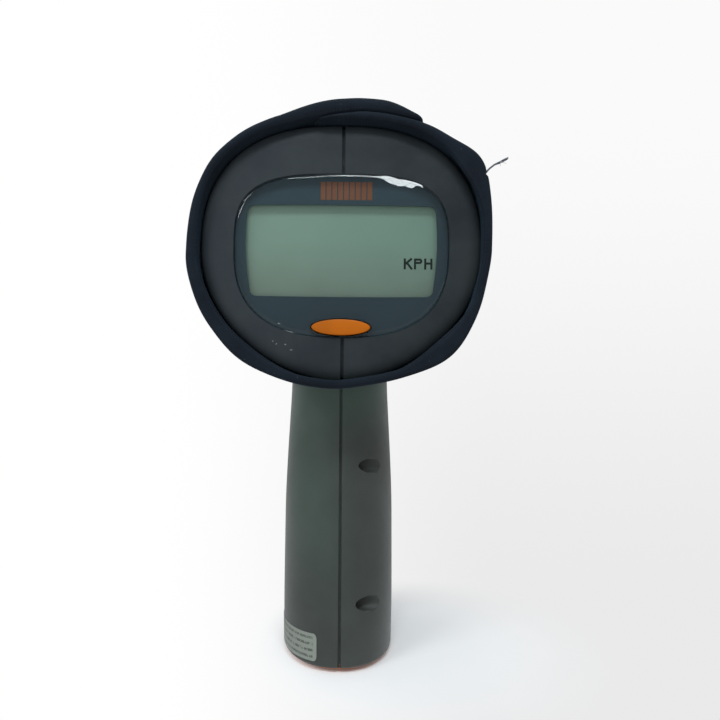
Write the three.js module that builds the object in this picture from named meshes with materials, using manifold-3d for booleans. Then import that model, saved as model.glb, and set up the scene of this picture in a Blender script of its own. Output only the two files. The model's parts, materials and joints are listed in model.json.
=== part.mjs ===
// Handheld speed radar gun in a soft wrap. Millimetres, +Z up, +Y along the radar beam, +X to the user's right.
// The origin is the centre of the flat base under the grip, on which the gun stands.
//
// The case is two moulded halves that meet on the plane x = 0. A conical horn and its oscillator fill the head,
// the display stack closes its rear face, two C cells stand in the grip, and a padded sleeve wraps the head.

import * as THREE from "three";
import { LoftGeometry } from "three/addons/geometries/LoftGeometry.js";
import { mergeVertices } from "three/addons/utils/BufferGeometryUtils.js";
import Module from "manifold-3d";

const wasm = await Module();
wasm.setup();

// ---------------------------------------------------------------- driving dimensions

const BEAM_Z = 164; // height of the radar beam's axis above the base
const REAR_Y = -31; // rear face of the case
const CASE_FRONT_Y = 80; // front edge of the moulded case
const GUN_FRONT_Y = 120; // rim of the front ring
const WALL = 2.5; // case wall
const REAR_WALL = 4; // wall that carries the display window
const SEAM = 0.15; // half the gap between the case halves
const SEAM_X = 0.6; // the halves meet a little to the user's right
const RAKE = THREE.MathUtils.degToRad(8); // the grip leans back by this much
const FAR = 80; // reach of a cutting tool, past any surface of the gun

// Head sections: y, half width, reach above and below the axis, squareness above and below.
const HEAD = [
  [-31, 54.5, 49.5, 49.5, 2.48, 1.9],
  [-8, 54.5, 49.5, 49.5, 2.45, 1.9],
  [25, 52.2, 48.6, 48.2, 2.25, 1.95],
  [58, 48.2, 47, 47, 2.05, 2],
  [80, 46.5, 46.5, 46.5, 2, 2],
];
const HEAD_SEGMENTS = 40;
const REAR_EDGE = { inset: 6, depth: 3.2, steps: 3 }; // rounding of the rear face's rim

// Grip sections: z, half width, reach in front of and behind the grip's centre line.
const GRIP = [
  [0, 23.1, 28, 27],
  [18, 23.6, 28.3, 26.3],
  [45, 23.8, 28.2, 25.2],
  [62, 23.8, 28.1, 24.7],
  [80, 23.25, 28, 24.4],
  [95, 22.6, 28, 24],
  [110, 22, 28, 23.8],
  [126, 21.9, 29, 24.5],
];
const GRIP_SEGMENTS = 32;
const GRIP_BOTTOM_Z = 1.3; // lower rim of the grip, round the battery door
const GRIP_EDGE = 1.2; // rounding of that rim
const GRIP_SQUARENESS = 2.1;

// Display: the window's outline is a squarish oval about its widest line.
const WINDOW = { z: 164.9, halfWidth: 41.2, above: 28.7, below: 33.7, squareAbove: 3.3, squareBelow: 2.6 };
const WINDOW_POCKET = 2.5;
const WINDOW_PROUD = 0.8;
const LCD = { z: 164.85, halfWidth: 36.9, halfHeight: 17.65 };
const BUTTON = { z: 135.1, halfWidth: 11.35, halfHeight: 2.9, gap: 0.3 };
const BOARD_Y = -20.2; // rear side of the main board
const BOARD_THICK = 1.6;
const BOARD_SCREWS = [
  [-33, 194.5],
  [33, 194.5],
  [-28, 136],
  [28, 136],
];

// Case screws: y and z of each screw's axis, which lies along x. The heads are on the right side.
const CASE_SCREWS = [
  [gripCentre(24) - 22, 24],
  [gripCentre(78) - 20, 78],
  [-4, 122.3],
  [56.2, 125],
  [56.2, 203],
  [-12, 205],
];
const CASE_SCREW = { head: 2.75, shank: 1.4, bore: 1.6, counterbore: 3.2, post: 4.1, seat: 3.5, headHeight: 2 };
const CASE_SCREW_TIP = -9;

const TRIGGER_PIN = { y: 35.5, z: 114, r: 1.5 };
const TRIGGER_HALF_WIDTH = 6.5;
const TRIGGER_SWITCH_Z = 92.7;
const TRIGGER_SPRING_Z = 82.5;
const DOOR_PIN = { y: 22, z: 2.3, r: 1 };
const DOOR_TOP_Z = 2.4;
const DOOR_RECESS = { inset: 1.3, topZ: 2.55, frontY: 19.8 };
const DOOR_GAP = 0.15;

const CELL = { r: 13.1, length: 50, nub: 1.5, nubR: 3.2 }; // C cell
const CELL_BOTTOM = 10.5; // along the raked axis, from the base
const CELL_AXIS_Y = 1; // the cells' axis crosses the base this far in front of the origin
const TUBE = { inner: 13.7, outer: 15, bottom: 9, top: 112.5 };

const HORN = { throat: 6, mouth: 39.5, back: 27.7, flange: 2.5, front: 111, wall: 1.6 };
const HORN_SCREW_OFFSET = 15;

// Wrap: a sheet round the head, its ends overlapping over the top. Angles run from the user's right over the top.
const WRAP = { rear: -35.5, front: 60, inner: 0.5, outer: 3.4 };
const WRAP_INNER_END = THREE.MathUtils.degToRad(101.4);
const FOLD_X = -23; // the flap folds along this line
const WRAP_TIP = THREE.MathUtils.degToRad(63.4);
const FLAP_LIFT = 4.9; // the overlapping end lies this far outside the layer beneath it

// ---------------------------------------------------------------- materials

function material(color, roughness, metalness = 0) {
  return new THREE.MeshStandardMaterial({ color, roughness, metalness });
}

const caseGrey = material(0x3f4844, 0.55);
const blackPlastic = material(0x16181b, 0.5);
const orangePlastic = material(0xc8701c, 0.4);
const clearPlastic = material(0x9fb0b4, 0.08);
const maskPrint = material(0x24333a, 0.4);
const lcdGlass = material(0x7c9484, 0.25);
const boardGreen = material(0x1f5a38, 0.5);
const steel = material(0xa8abae, 0.3, 1);
const aluminium = material(0xb9bcbf, 0.35, 1);
const seal = material(0x111214, 0.8);
const cellJacket = material(0x2c3a55, 0.35);
const wrapFabric = material(0x1b2026, 0.9);
const tapeFabric = material(0x121418, 1);
const redLead = material(0xa02420, 0.5);
const blackLead = material(0x151515, 0.5);
const greyLead = material(0x8a8d90, 0.5);
const labelFilm = material(0xa9b3ac, 0.4);

// ---------------------------------------------------------------- curves and sections

// The row of a table at a place between its rows, on a smooth curve through them.
function station(table, at) {
  const last = table.length - 1;
  const above = table.findIndex((row) => row[0] > at);
  const i = above < 0 ? last - 1 : Math.max(above - 1, 0);
  const before = table[Math.max(i - 1, 0)];
  const after = table[Math.min(i + 2, last)];
  const span = table[i + 1][0] - table[i][0];
  const t = THREE.MathUtils.clamp((at - table[i][0]) / span, 0, 1);
  return table[i].map((start, k) => {
    const end = table[i + 1][k];
    const startSlope = ((end - before[k]) / (table[i + 1][0] - before[0])) * span;
    const endSlope = ((after[k] - start) / (after[0] - table[i][0])) * span;
    const bend = (2 * start - 2 * end + startSlope + endSlope) * t ** 3;
    return bend + (3 * end - 3 * start - 2 * startSlope - endSlope) * t ** 2 + startSlope * t + start;
  });
}

// Sine or cosine of a superellipse's angle: squareness 2 is an ellipse, and more is squarer.
function squared(value, squareness) {
  return Math.sign(value) * Math.abs(value) ** (2 / squareness);
}

// A point on the head's outside, grown by a distance. The angle runs from the user's right over the top.
function headPoint(y, angle, grow) {
  const [, halfWidth, above, below, squareAbove, squareBelow] = station(HEAD, y);
  const up = Math.sin(angle) >= 0;
  const squareness = up ? squareAbove : squareBelow;
  const reach = (up ? above : below) + grow;
  const x = (halfWidth + grow) * squared(Math.cos(angle), squareness);
  return new THREE.Vector3(x, y, BEAM_Z + reach * squared(Math.sin(angle), squareness));
}

function headRing(y, grow, at = y) {
  const points = [];
  for (let i = 0; i < HEAD_SEGMENTS; i++) {
    const point = headPoint(y, (-2 * Math.PI * i) / HEAD_SEGMENTS, grow);
    point.y = at;
    points.push(point);
  }
  return points;
}

// y of the grip's centre line at a height.
function gripCentre(z) {
  return z * Math.tan(RAKE);
}

function gripPoint(z, angle, grow) {
  const [, halfWidth, front, back] = station(GRIP, z);
  const reach = (Math.sin(angle) >= 0 ? front : back) + grow;
  const x = (halfWidth + grow) * squared(Math.cos(angle), GRIP_SQUARENESS);
  return new THREE.Vector3(x, gripCentre(z) + reach * squared(Math.sin(angle), GRIP_SQUARENESS), z);
}

function gripRing(z, grow, at = z) {
  const points = [];
  for (let i = 0; i < GRIP_SEGMENTS; i++) {
    const point = gripPoint(z, (2 * Math.PI * i) / GRIP_SEGMENTS, grow);
    point.z = at;
    points.push(point);
  }
  return points;
}

function windowRing(y, grow, count = 36) {
  const points = [];
  for (let i = 0; i < count; i++) {
    const angle = (-2 * Math.PI * i) / count;
    const up = Math.sin(angle) >= 0;
    const squareness = up ? WINDOW.squareAbove : WINDOW.squareBelow;
    const reach = (up ? WINDOW.above : WINDOW.below) + grow;
    const x = (WINDOW.halfWidth + grow) * squared(Math.cos(angle), squareness);
    points.push(new THREE.Vector3(x, y, WINDOW.z + reach * squared(Math.sin(angle), squareness)));
  }
  return points;
}

function ellipseShape(halfWidth, halfHeight, z, count = 28) {
  const curve = new THREE.EllipseCurve(0, z, halfWidth, halfHeight);
  return new THREE.Shape(curve.getPoints(count).slice(0, count));
}

// A rectangle with rounded corners, drawn about a centre.
function roundedRectangle(halfWidth, halfHeight, corner, x = 0, y = 0) {
  const shape = new THREE.Shape();
  shape.moveTo(x - halfWidth + corner, y - halfHeight);
  shape.absarc(x + halfWidth - corner, y - halfHeight + corner, corner, -Math.PI / 2, 0, false);
  shape.absarc(x + halfWidth - corner, y + halfHeight - corner, corner, 0, Math.PI / 2, false);
  shape.absarc(x - halfWidth + corner, y + halfHeight - corner, corner, Math.PI / 2, Math.PI, false);
  shape.absarc(x - halfWidth + corner, y - halfHeight + corner, corner, Math.PI, 1.5 * Math.PI, false);
  return shape;
}

// The display opening: its sides bow outwards a little and draw in towards the bottom.
function lcdOpening(grow) {
  const corner = 2.2;
  const top = LCD.halfHeight + grow;
  const upper = LCD.halfWidth - 0.2 + grow;
  const lower = LCD.halfWidth - 1.2 + grow;
  const bow = LCD.halfWidth + 1.1 + grow;
  const shape = new THREE.Shape();
  shape.moveTo(-lower + corner, LCD.z - top);
  shape.lineTo(lower - corner, LCD.z - top);
  shape.quadraticCurveTo(lower, LCD.z - top, lower + 0.25, LCD.z - top + corner);
  shape.quadraticCurveTo(bow, LCD.z + 1, upper + 0.15, LCD.z + top - corner);
  shape.quadraticCurveTo(upper, LCD.z + top, upper - corner, LCD.z + top);
  shape.lineTo(-upper + corner, LCD.z + top);
  shape.quadraticCurveTo(-upper, LCD.z + top, -upper - 0.15, LCD.z + top - corner);
  shape.quadraticCurveTo(-bow, LCD.z + 1, -lower - 0.25, LCD.z - top + corner);
  shape.quadraticCurveTo(-lower, LCD.z - top, -lower + corner, LCD.z - top);
  return shape;
}

// ---------------------------------------------------------------- solids

function solid(geometry) {
  const bare = new THREE.BufferGeometry();
  bare.setAttribute("position", geometry.attributes.position);
  bare.setIndex(geometry.index);
  const merged = mergeVertices(bare, 1e-4);
  return new wasm.Manifold(
    new wasm.Mesh({
      numProp: 3,
      vertProperties: merged.attributes.position.array,
      triVerts: new Uint32Array(merged.index.array),
    }),
  );
}

function geometryOf(made) {
  const { numProp, vertProperties, triVerts } = made.getMesh();
  const vertices = new THREE.InterleavedBuffer(new Float32Array(vertProperties), numProp);
  const geometry = new THREE.BufferGeometry();
  geometry.setAttribute("position", new THREE.InterleavedBufferAttribute(vertices, 3, 0));
  geometry.setIndex(new THREE.BufferAttribute(new Uint32Array(triVerts), 1));
  const flat = geometry.toNonIndexed();
  flat.computeVertexNormals();
  return flat;
}

function union(...solids) {
  return solids.reduce((sum, next) => sum.add(next));
}

function box(x0, x1, y0, y1, z0, z1) {
  const geometry = new THREE.BoxGeometry(x1 - x0, y1 - y0, z1 - z0);
  return solid(geometry.translate((x0 + x1) / 2, (y0 + y1) / 2, (z0 + z1) / 2));
}

function cylinderX(r, x0, x1, y, z, segments = 16) {
  const geometry = new THREE.CylinderGeometry(r, r, x1 - x0, segments).rotateZ(Math.PI / 2);
  return solid(geometry.translate((x0 + x1) / 2, y, z));
}

function cylinderY(r, y0, y1, x, z, segments = 16) {
  const geometry = new THREE.CylinderGeometry(r, r, y1 - y0, segments);
  return solid(geometry.translate(x, (y0 + y1) / 2, z));
}

function cylinderZ(r, z0, z1, x = 0, y = 0, segments = 32) {
  const geometry = new THREE.CylinderGeometry(r, r, z1 - z0, segments).rotateX(Math.PI / 2);
  return solid(geometry.translate(x, y, (z0 + z1) / 2));
}

// A shape drawn in x and z, made thick along y.
function plate(shape, y0, y1, curveSegments = 6) {
  const geometry = new THREE.ExtrudeGeometry(shape, { depth: y1 - y0, bevelEnabled: false, curveSegments });
  return solid(geometry.rotateX(Math.PI / 2).translate(0, y1, 0));
}

// A shape drawn in y and z, made thick along x.
function sidePlate(shape, x0, x1, curveSegments = 8) {
  const geometry = new THREE.ExtrudeGeometry(shape, { depth: x1 - x0, bevelEnabled: false, curveSegments });
  const turn = new THREE.Matrix4().set(0, 0, 1, x0, 1, 0, 0, 0, 0, 1, 0, 0, 0, 0, 0, 1);
  return solid(geometry.applyMatrix4(turn));
}

// A shape drawn in x and y, made thick along z.
function floorPlate(shape, z0, z1, curveSegments = 6) {
  const geometry = new THREE.ExtrudeGeometry(shape, { depth: z1 - z0, bevelEnabled: false, curveSegments });
  return solid(geometry.translate(0, 0, z0));
}

function loft(rings) {
  return solid(new LoftGeometry(rings, { capStart: true, capEnd: true }));
}

// A profile of [radius, y] pairs turned round the beam's axis.
function turned(profile, segments = 32) {
  const points = profile.map(([r, y]) => new THREE.Vector2(r, y));
  return solid(new THREE.LatheGeometry(points, segments).translate(0, 0, BEAM_Z));
}

// A round wire or cable along a curve through points.
function wire(points, r, steps, sides = 6) {
  const curve = new THREE.CatmullRomCurve3(points.map((p) => new THREE.Vector3(...p)));
  const section = new THREE.Shape(new THREE.EllipseCurve(0, 0, r, r).getPoints(sides).slice(0, sides));
  return solid(new THREE.ExtrudeGeometry(section, { steps, extrudePath: curve, bevelEnabled: false }));
}

// A coil spring standing on z = 0, its radius going from bottom to top.
function coil(bottomR, topR, height, turns, wireR, perTurn = 8) {
  const points = [];
  const count = turns * perTurn;
  for (let i = 0; i <= count; i++) {
    const share = i / count;
    const angle = 2 * Math.PI * turns * share;
    const r = bottomR + (topR - bottomR) * share;
    points.push([r * Math.cos(angle), r * Math.sin(angle), wireR + (height - 2 * wireR) * share]);
  }
  return wire(points, wireR, count, 4);
}

// A curved sheet: point(u, v, side) gives its inner (side 0) and outer (side 1) face.
function sheet(point, across, along) {
  const points = [];
  for (let i = 0; i <= across; i++)
    for (let j = 0; j <= along; j++)
      for (const side of [0, 1]) points.push(point(i / across, j / along, side));
  const at = (i, j, side) => 2 * (i * (along + 1) + j) + side;
  const faces = [];
  const quad = (a, b, c, d) => faces.push(a, b, c, a, c, d);
  for (let i = 0; i < across; i++) {
    for (let j = 0; j < along; j++) {
      quad(at(i, j, 1), at(i + 1, j, 1), at(i + 1, j + 1, 1), at(i, j + 1, 1));
      quad(at(i, j, 0), at(i, j + 1, 0), at(i + 1, j + 1, 0), at(i + 1, j, 0));
    }
    quad(at(i, 0, 0), at(i + 1, 0, 0), at(i + 1, 0, 1), at(i, 0, 1));
    quad(at(i, along, 1), at(i + 1, along, 1), at(i + 1, along, 0), at(i, along, 0));
  }
  for (let j = 0; j < along; j++) {
    quad(at(0, j, 1), at(0, j + 1, 1), at(0, j + 1, 0), at(0, j, 0));
    quad(at(across, j, 0), at(across, j + 1, 0), at(across, j + 1, 1), at(across, j, 1));
  }
  const geometry = new THREE.BufferGeometry().setFromPoints(points);
  geometry.setIndex(faces);
  return solid(geometry);
}

// ---------------------------------------------------------------- case

function rearEdgeRings(grow) {
  const rings = [];
  for (let i = 0; i < REAR_EDGE.steps; i++) {
    const turn = (Math.PI / 2) * (i / REAR_EDGE.steps);
    const inset = REAR_EDGE.inset * (1 - Math.sin(turn));
    const y = REAR_Y + REAR_EDGE.depth * (1 - Math.cos(turn));
    rings.push(headRing(REAR_Y, grow - inset, y));
  }
  return rings;
}

function headOuter() {
  const stations = [REAR_Y + REAR_EDGE.depth, -8, 14, 36, 58, CASE_FRONT_Y];
  return loft([...rearEdgeRings(0), ...stations.map((y) => headRing(y, 0))]);
}

function headInner() {
  const stations = [REAR_Y + REAR_WALL, -8, 14, 36, 58, CASE_FRONT_Y];
  const rings = stations.map((y) => headRing(y, -WALL));
  rings.push(headRing(CASE_FRONT_Y, -WALL, CASE_FRONT_Y + 1));
  return loft(rings);
}

function gripOuter() {
  const stations = [18, 40, 62, 80, 102, 126];
  const edge = [0, 1, 2].map((i) => {
    const turn = (Math.PI / 4) * i;
    const z = GRIP_BOTTOM_Z + GRIP_EDGE * (1 - Math.cos(turn));
    return gripRing(z, -GRIP_EDGE * (1 - Math.sin(turn)));
  });
  return loft([...edge, ...stations.map((z) => gripRing(z, 0))]);
}

function gripInner() {
  const stations = [GRIP_BOTTOM_Z, 18, 40, 62, 80, 102, 126];
  const rings = stations.map((z) => gripRing(z, -WALL));
  rings.unshift(gripRing(GRIP_BOTTOM_Z, -WALL, GRIP_BOTTOM_Z - 2));
  return loft(rings);
}

// Posts, ribs and bosses that stand inside the case.
function caseInsides() {
  const { post } = CASE_SCREW;
  const posts = CASE_SCREWS.map(([y, z]) => cylinderX(post, -FAR, FAR, y, z, 10));
  const pinBosses = [1, -1].map((side) => {
    const ends = [side * 7.4, side * FAR].sort((a, b) => a - b);
    return cylinderX(3.4, ...ends, TRIGGER_PIN.y, TRIGGER_PIN.z, 12);
  });
  const boardBosses = BOARD_SCREWS.map(([x, z]) =>
    cylinderY(3, REAR_Y + REAR_WALL - 1, BOARD_Y - 0.2, x, z, 12),
  );
  const springRib = box(-FAR, FAR, 28.7, 29.5, 78.5, 86.5);
  const switchRails = [
    box(-FAR, -6, 29.3, 30.5, 88.5, 97.5),
    box(6, FAR, 29.3, 30.5, 88.5, 97.5),
  ];
  const bulkhead = box(-FAR, FAR, 50, 52.4, BEAM_Z - FAR, BEAM_Z + FAR);
  const hornHole = cylinderY(hornOuterRadius(52.4) + 0.5, 49, 54, 0, BEAM_Z, 28);
  return union(
    ...posts,
    ...pinBosses,
    ...boardBosses,
    springRib,
    ...switchRails,
    bulkhead.subtract(hornHole),
  );
}

function caseCuts() {
  const { bore, counterbore, seat } = CASE_SCREW;
  const screwCuts = CASE_SCREWS.flatMap(([y, z]) => [
    cylinderX(bore, CASE_SCREW_TIP - 2, seat + 1, y, z, 8),
    cylinderX(counterbore, seat, FAR, y, z, 14),
  ]);
  const pinBore = cylinderX(TRIGGER_PIN.r + 0.12, -12.5, 12.5, TRIGGER_PIN.y, TRIGGER_PIN.z, 12);
  const boardBores = BOARD_SCREWS.map(([x, z]) => cylinderY(1.3, -26.3, BOARD_Y, x, z, 10));
  const pocket = loft([windowRing(REAR_Y - 1, 0.25), windowRing(REAR_Y + WINDOW_POCKET, 0.25)]);
  const lcdHole = plate(lcdOpening(1.2), REAR_Y, REAR_Y + REAR_WALL + 1);
  const { halfWidth, halfHeight, gap, z } = BUTTON;
  const buttonHole = plate(ellipseShape(halfWidth + gap, halfHeight + gap, z), REAR_Y, REAR_Y + REAR_WALL + 1);
  const triggerSlot = box(-6.9, 6.9, 33, 60, 74, 106.5);
  return union(...screwCuts, pinBore, ...boardBores, pocket, lcdHole, buttonHole, triggerSlot);
}

// Outline of the door or its recess. The front is drawn in so that the opening door clears the rim.
function doorOutline(inset, z, frontInset = inset) {
  return gripRing(GRIP_BOTTOM_Z, -inset).map((p) => {
    const frontShare = (GRIP[0][2] - frontInset) / (GRIP[0][2] - inset);
    return new THREE.Vector3(p.x, p.y > 0 ? p.y * frontShare : p.y, z);
  });
}

// The door lies in a recess. In front of it the base comes down and holds the hinge pin in two lugs.
function addDoorHinge(body) {
  const { y, z, r } = DOOR_PIN;
  const { inset, topZ, frontY } = DOOR_RECESS;
  const recess = loft([doorOutline(inset, -1), doorOutline(inset, topZ)]).intersect(box(-40, 40, -40, frontY, -2, 5));
  const toeBlock = box(-30, 30, frontY, 40, 0.15, 6);
  const toe = loft([gripRing(0, -GRIP_EDGE, 0.15), gripRing(3, 0, 3), gripRing(6, 0, 6)]).intersect(toeBlock);
  const lugs = [-1, 1].map((side) => {
    const [x0, x1] = [side * 9.3, side * 13.5].sort((a, b) => a - b);
    return union(cylinderX(2.1, x0, x1, y, z), box(x0, x1, y - 1.4, y + 1.4, z, 8.5));
  });
  const latchGroove = box(-5.5, 5.5, -24.7, -17, 0, 8.2);
  return body
    .subtract(recess)
    .add(toe)
    .subtract(cylinderX(2.6, -15, 15, y, z, 24))
    .subtract(box(-15, 15, y - 5, y + 2.9, -1, z))
    .add(union(...lugs))
    .subtract(cylinderX(r + 0.1, -12.9, 12.9, y, z))
    .subtract(latchGroove);
}

function caseHalves() {
  const outer = headOuter().add(gripOuter());
  const cavity = headInner().add(gripInner()).subtract(caseInsides());
  const body = addDoorHinge(outer.subtract(cavity).subtract(caseCuts()));
  return {
    left: body.intersect(box(-FAR, SEAM_X - SEAM, -FAR, 2 * FAR, -FAR, 3 * FAR)),
    right: body.intersect(box(SEAM_X + SEAM, FAR, -FAR, 2 * FAR, -FAR, 3 * FAR)),
  };
}

function caseScrew([y, z]) {
  const { head, shank, seat, headHeight } = CASE_SCREW;
  const under = seat + 0.1;
  const top = under + headHeight;
  const shaft = cylinderX(shank, CASE_SCREW_TIP, under + 0.5, y, z, 8);
  const made = cylinderX(head, under, top, y, z, 14).add(shaft);
  return made.subtract(crossRecess(top, y, z));
}

function crossRecess(x, y, z) {
  return box(x - 1, x + 1, y - 1.5, y + 1.5, z - 0.35, z + 0.35).add(
    box(x - 1, x + 1, y - 0.35, y + 0.35, z - 1.5, z + 1.5),
  );
}

// ---------------------------------------------------------------- radar front end

function hornOuterRadius(y) {
  const { throat, mouth, back, flange, front, wall } = HORN;
  const start = back + flange;
  return throat + wall + ((mouth - throat) * (y - start)) / (front - start);
}

function horn() {
  const { throat, mouth, back, flange, front, wall } = HORN;
  const start = back + flange;
  const cone = turned(
    [
      [throat, back + 0.4],
      [throat + wall, back + 0.4],
      [throat + wall, start],
      [mouth + wall, front],
      [mouth, front],
      [throat, start],
      [throat, back + 0.4],
    ],
    28,
  );
  const square = plate(roundedRectangle(19, 19, 3, 0, BEAM_Z), back, start, 3);
  const holes = hornScrewPlaces().map(([x, z]) => cylinderY(1.5, back - 1, start + 1, x, z, 12));
  const throatHole = cylinderY(throat, back - 1, start + 1, 0, BEAM_Z, 28);
  return square.subtract(union(throatHole, ...holes)).add(cone);
}

function hornScrewPlaces() {
  const places = [];
  for (const x of [-HORN_SCREW_OFFSET, HORN_SCREW_OFFSET])
    for (const z of [-HORN_SCREW_OFFSET, HORN_SCREW_OFFSET]) places.push([x, BEAM_Z + z]);
  return places;
}

function hornScrew([x, z]) {
  const seat = HORN.back + HORN.flange + 0.1;
  const made = cylinderY(2.4, seat, seat + 1.7, x, z, 14).add(cylinderY(1.2, 18, seat + 0.5, x, z, 10));
  const slot = box(x - 1.3, x + 1.3, seat + 0.9, seat + 2, z - 0.3, z + 0.3);
  return made.subtract(slot);
}

// Oscillator and mixer in one cast block, with a short waveguide open to the horn.
function oscillatorBlock() {
  const block = plate(roundedRectangle(17.5, 17.5, 2, 0, BEAM_Z), 7.4, HORN.back - 0.3, 3);
  const waveguide = cylinderY(HORN.throat, 13, HORN.back, 0, BEAM_Z, 24);
  const bores = hornScrewPlaces().map(([x, z]) => cylinderY(1.4, 17.5, HORN.back, x, z, 12));
  const tuningScrew = cylinderZ(2, BEAM_Z + 17, BEAM_Z + 20.5, 0, 17, 12);
  return block.subtract(union(waveguide, ...bores)).add(tuningScrew);
}

function receiverBoard() {
  const board = plate(roundedRectangle(16, 17, 1.5, 0, BEAM_Z), 5.5, 7.1, 2);
  const can = box(-9, 9, 2.5, 5.6, BEAM_Z - 13, BEAM_Z + 4);
  const chip = box(-5, 5, 4, 5.6, BEAM_Z + 6.5, BEAM_Z + 10.5);
  return union(board, can, chip);
}

function frontRing() {
  const grooves = [92, 100].flatMap((y) => [
    [48.6, y - 1],
    [47.7, y - 0.5],
    [47.7, y + 0.5],
    [48.6, y + 1],
  ]);
  return turned([
    [41.4, 71],
    [43.6, 71],
    [43.6, CASE_FRONT_Y + 0.3],
    [47, CASE_FRONT_Y + 0.3],
    [48.6, 83],
    ...grooves,
    [48.6, 117],
    [48, 119.3],
    [47.2, GUN_FRONT_Y],
    [45.9, GUN_FRONT_Y],
    [45.9, 115],
    [43.4, 115],
    [43.4, 112],
    [46, 108],
    [46, 84],
    [41.4, 79.6],
    [41.4, 71],
  ]);
}

function radome() {
  return turned([
    [0, 116],
    [45.5, 116],
    [45.5, 117],
    [36, 118.3],
    [24, 119.1],
    [12, 119.5],
    [0, 119.65],
  ]);
}

function radomeSeal() {
  return turned([
    [43.7, 115.15],
    [45.5, 115.15],
    [45.5, 115.85],
    [43.7, 115.85],
    [43.7, 115.15],
  ]);
}

// ---------------------------------------------------------------- display stack

function displayWindow() {
  const back = REAR_Y + WINDOW_POCKET - 0.55;
  const glass = loft([
    windowRing(REAR_Y - WINDOW_PROUD, -0.9),
    windowRing(REAR_Y - 0.1, 0),
    windowRing(back, 0),
  ]);
  return glass.subtract(buttonOpening(REAR_Y - 3, back + 1));
}

function windowMask() {
  const y0 = REAR_Y + WINDOW_POCKET - 0.45;
  const y1 = REAR_Y + WINDOW_POCKET - 0.05;
  const film = loft([windowRing(y0, 0), windowRing(y1, 0)]);
  return film.subtract(plate(lcdOpening(0), y0 - 1, y1 + 1)).subtract(buttonOpening(y0 - 1, y1 + 1));
}

function buttonOpening(y0, y1) {
  const { halfWidth, halfHeight, gap, z } = BUTTON;
  return plate(ellipseShape(halfWidth + gap, halfHeight + gap, z), y0, y1);
}

function modeButton() {
  const { halfWidth, halfHeight, z } = BUTTON;
  const face = REAR_Y - WINDOW_PROUD;
  const cap = loft([
    buttonRing(face - 0.5, -1.6),
    buttonRing(face - 0.2, -0.5),
    buttonRing(face + 0.4, 0),
    buttonRing(-26.6, 0),
  ]);
  const flange = plate(ellipseShape(halfWidth + 1.8, halfHeight + 1.5, z), -26.7, -25.5);
  const pusher = cylinderY(2, -25.6, -23.9, 0, z, 12);
  return union(cap, flange, pusher);
}

function buttonRing(y, grow, count = 28) {
  const { halfWidth, halfHeight, z } = BUTTON;
  const points = [];
  for (let i = 0; i < count; i++) {
    const angle = (-2 * Math.PI * i) / count;
    const x = (halfWidth + grow) * Math.cos(angle);
    points.push(new THREE.Vector3(x, y, z + (halfHeight + grow) * Math.sin(angle)));
  }
  return points;
}

function buttonSwitch() {
  const body = box(-3, 3, -22.9, BOARD_Y - 0.1, BUTTON.z - 3, BUTTON.z + 3);
  return body.subtract(cylinderY(1.8, -24, -20.6, 0, BUTTON.z));
}

function lcdFrame() {
  const frame = plate(roundedRectangle(43, 24, 2, 0, LCD.z), -26.8, BOARD_Y - 0.2, 3);
  return frame.subtract(plate(roundedRectangle(40.4, 21.4, 0.8, 0, LCD.z), -30, -15, 2));
}

function mainBoard() {
  const outline = new THREE.Shape(
    [
      [-32, 130.5],
      [32, 130.5],
      [42, 148],
      [42, 190],
      [38, 199],
      [-38, 199],
      [-42, 190],
      [-42, 148],
    ].map(([x, z]) => new THREE.Vector2(x, z)),
  );
  const front = BOARD_Y + BOARD_THICK;
  const bores = BOARD_SCREWS.map(([x, z]) => cylinderY(1.6, BOARD_Y - 1, front + 1, x, z, 12));
  const fitted = [
    box(-9, 9, front - 0.1, front + 1.8, 158, 176), // processor
    box(14, 26, front - 0.1, front + 1.5, 166, 176), // amplifier
    box(14, 24, front - 0.1, front + 3.2, 150, 156), // crystal
    box(-30, -20, front - 0.1, front + 5, 178, 184), // receiver socket
    box(10, 26, front - 0.1, front + 4.5, 140, 145), // power socket
    cylinderY(3.2, front - 0.1, front + 7, -20, 160, 14),
    cylinderY(2.5, front - 0.1, front + 6, -28, 150, 14),
  ];
  return union(plate(outline, BOARD_Y, front).subtract(union(...bores)), ...fitted);
}

function boardScrew([x, z]) {
  const seat = BOARD_Y + BOARD_THICK + 0.1;
  const made = cylinderY(2.4, seat, seat + 1.6, x, z, 14).add(cylinderY(1.1, -25.8, seat + 0.5, x, z, 10));
  return made.subtract(box(x - 1.3, x + 1.3, seat + 0.9, seat + 2, z - 0.3, z + 0.3));
}

// ---------------------------------------------------------------- trigger

function trigger() {
  const { y, z, r } = TRIGGER_PIN;
  const profile = new THREE.Shape();
  profile.moveTo(36.1, 90.5);
  profile.lineTo(36.2, 78);
  profile.quadraticCurveTo(36.4, 76.6, 38, 76.4);
  profile.lineTo(48, 76.2);
  profile.quadraticCurveTo(50.6, 76.4, 50.2, 78.8);
  profile.bezierCurveTo(46.2, 86, 46, 94, 49.4, 102);
  profile.quadraticCurveTo(49.8, 104.6, 47, 104.9);
  profile.lineTo(41, 105.2);
  profile.lineTo(38.3, 106);
  profile.absarc(y, z, 3.2, 0, Math.PI, false);
  profile.lineTo(33.4, 104);
  profile.lineTo(36.1, 99);
  const lever = sidePlate(profile, -TRIGGER_HALF_WIDTH, TRIGGER_HALF_WIDTH);
  return lever.subtract(cylinderX(r + 0.15, -10, 10, y, z));
}

function triggerSwitch() {
  const body = box(-4, 4, 31.55, 34.2, 89, 96.4);
  return body.subtract(cylinderY(1.45, 31.9, 36, 0, TRIGGER_SWITCH_Z, 14));
}

function triggerSpring() {
  const geometry = geometryOf(coil(2.4, 2.4, 6.3, 4, 0.3));
  return geometry.rotateX(-Math.PI / 2).translate(0, 29.7, TRIGGER_SPRING_Z);
}

// ---------------------------------------------------------------- battery bay

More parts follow.
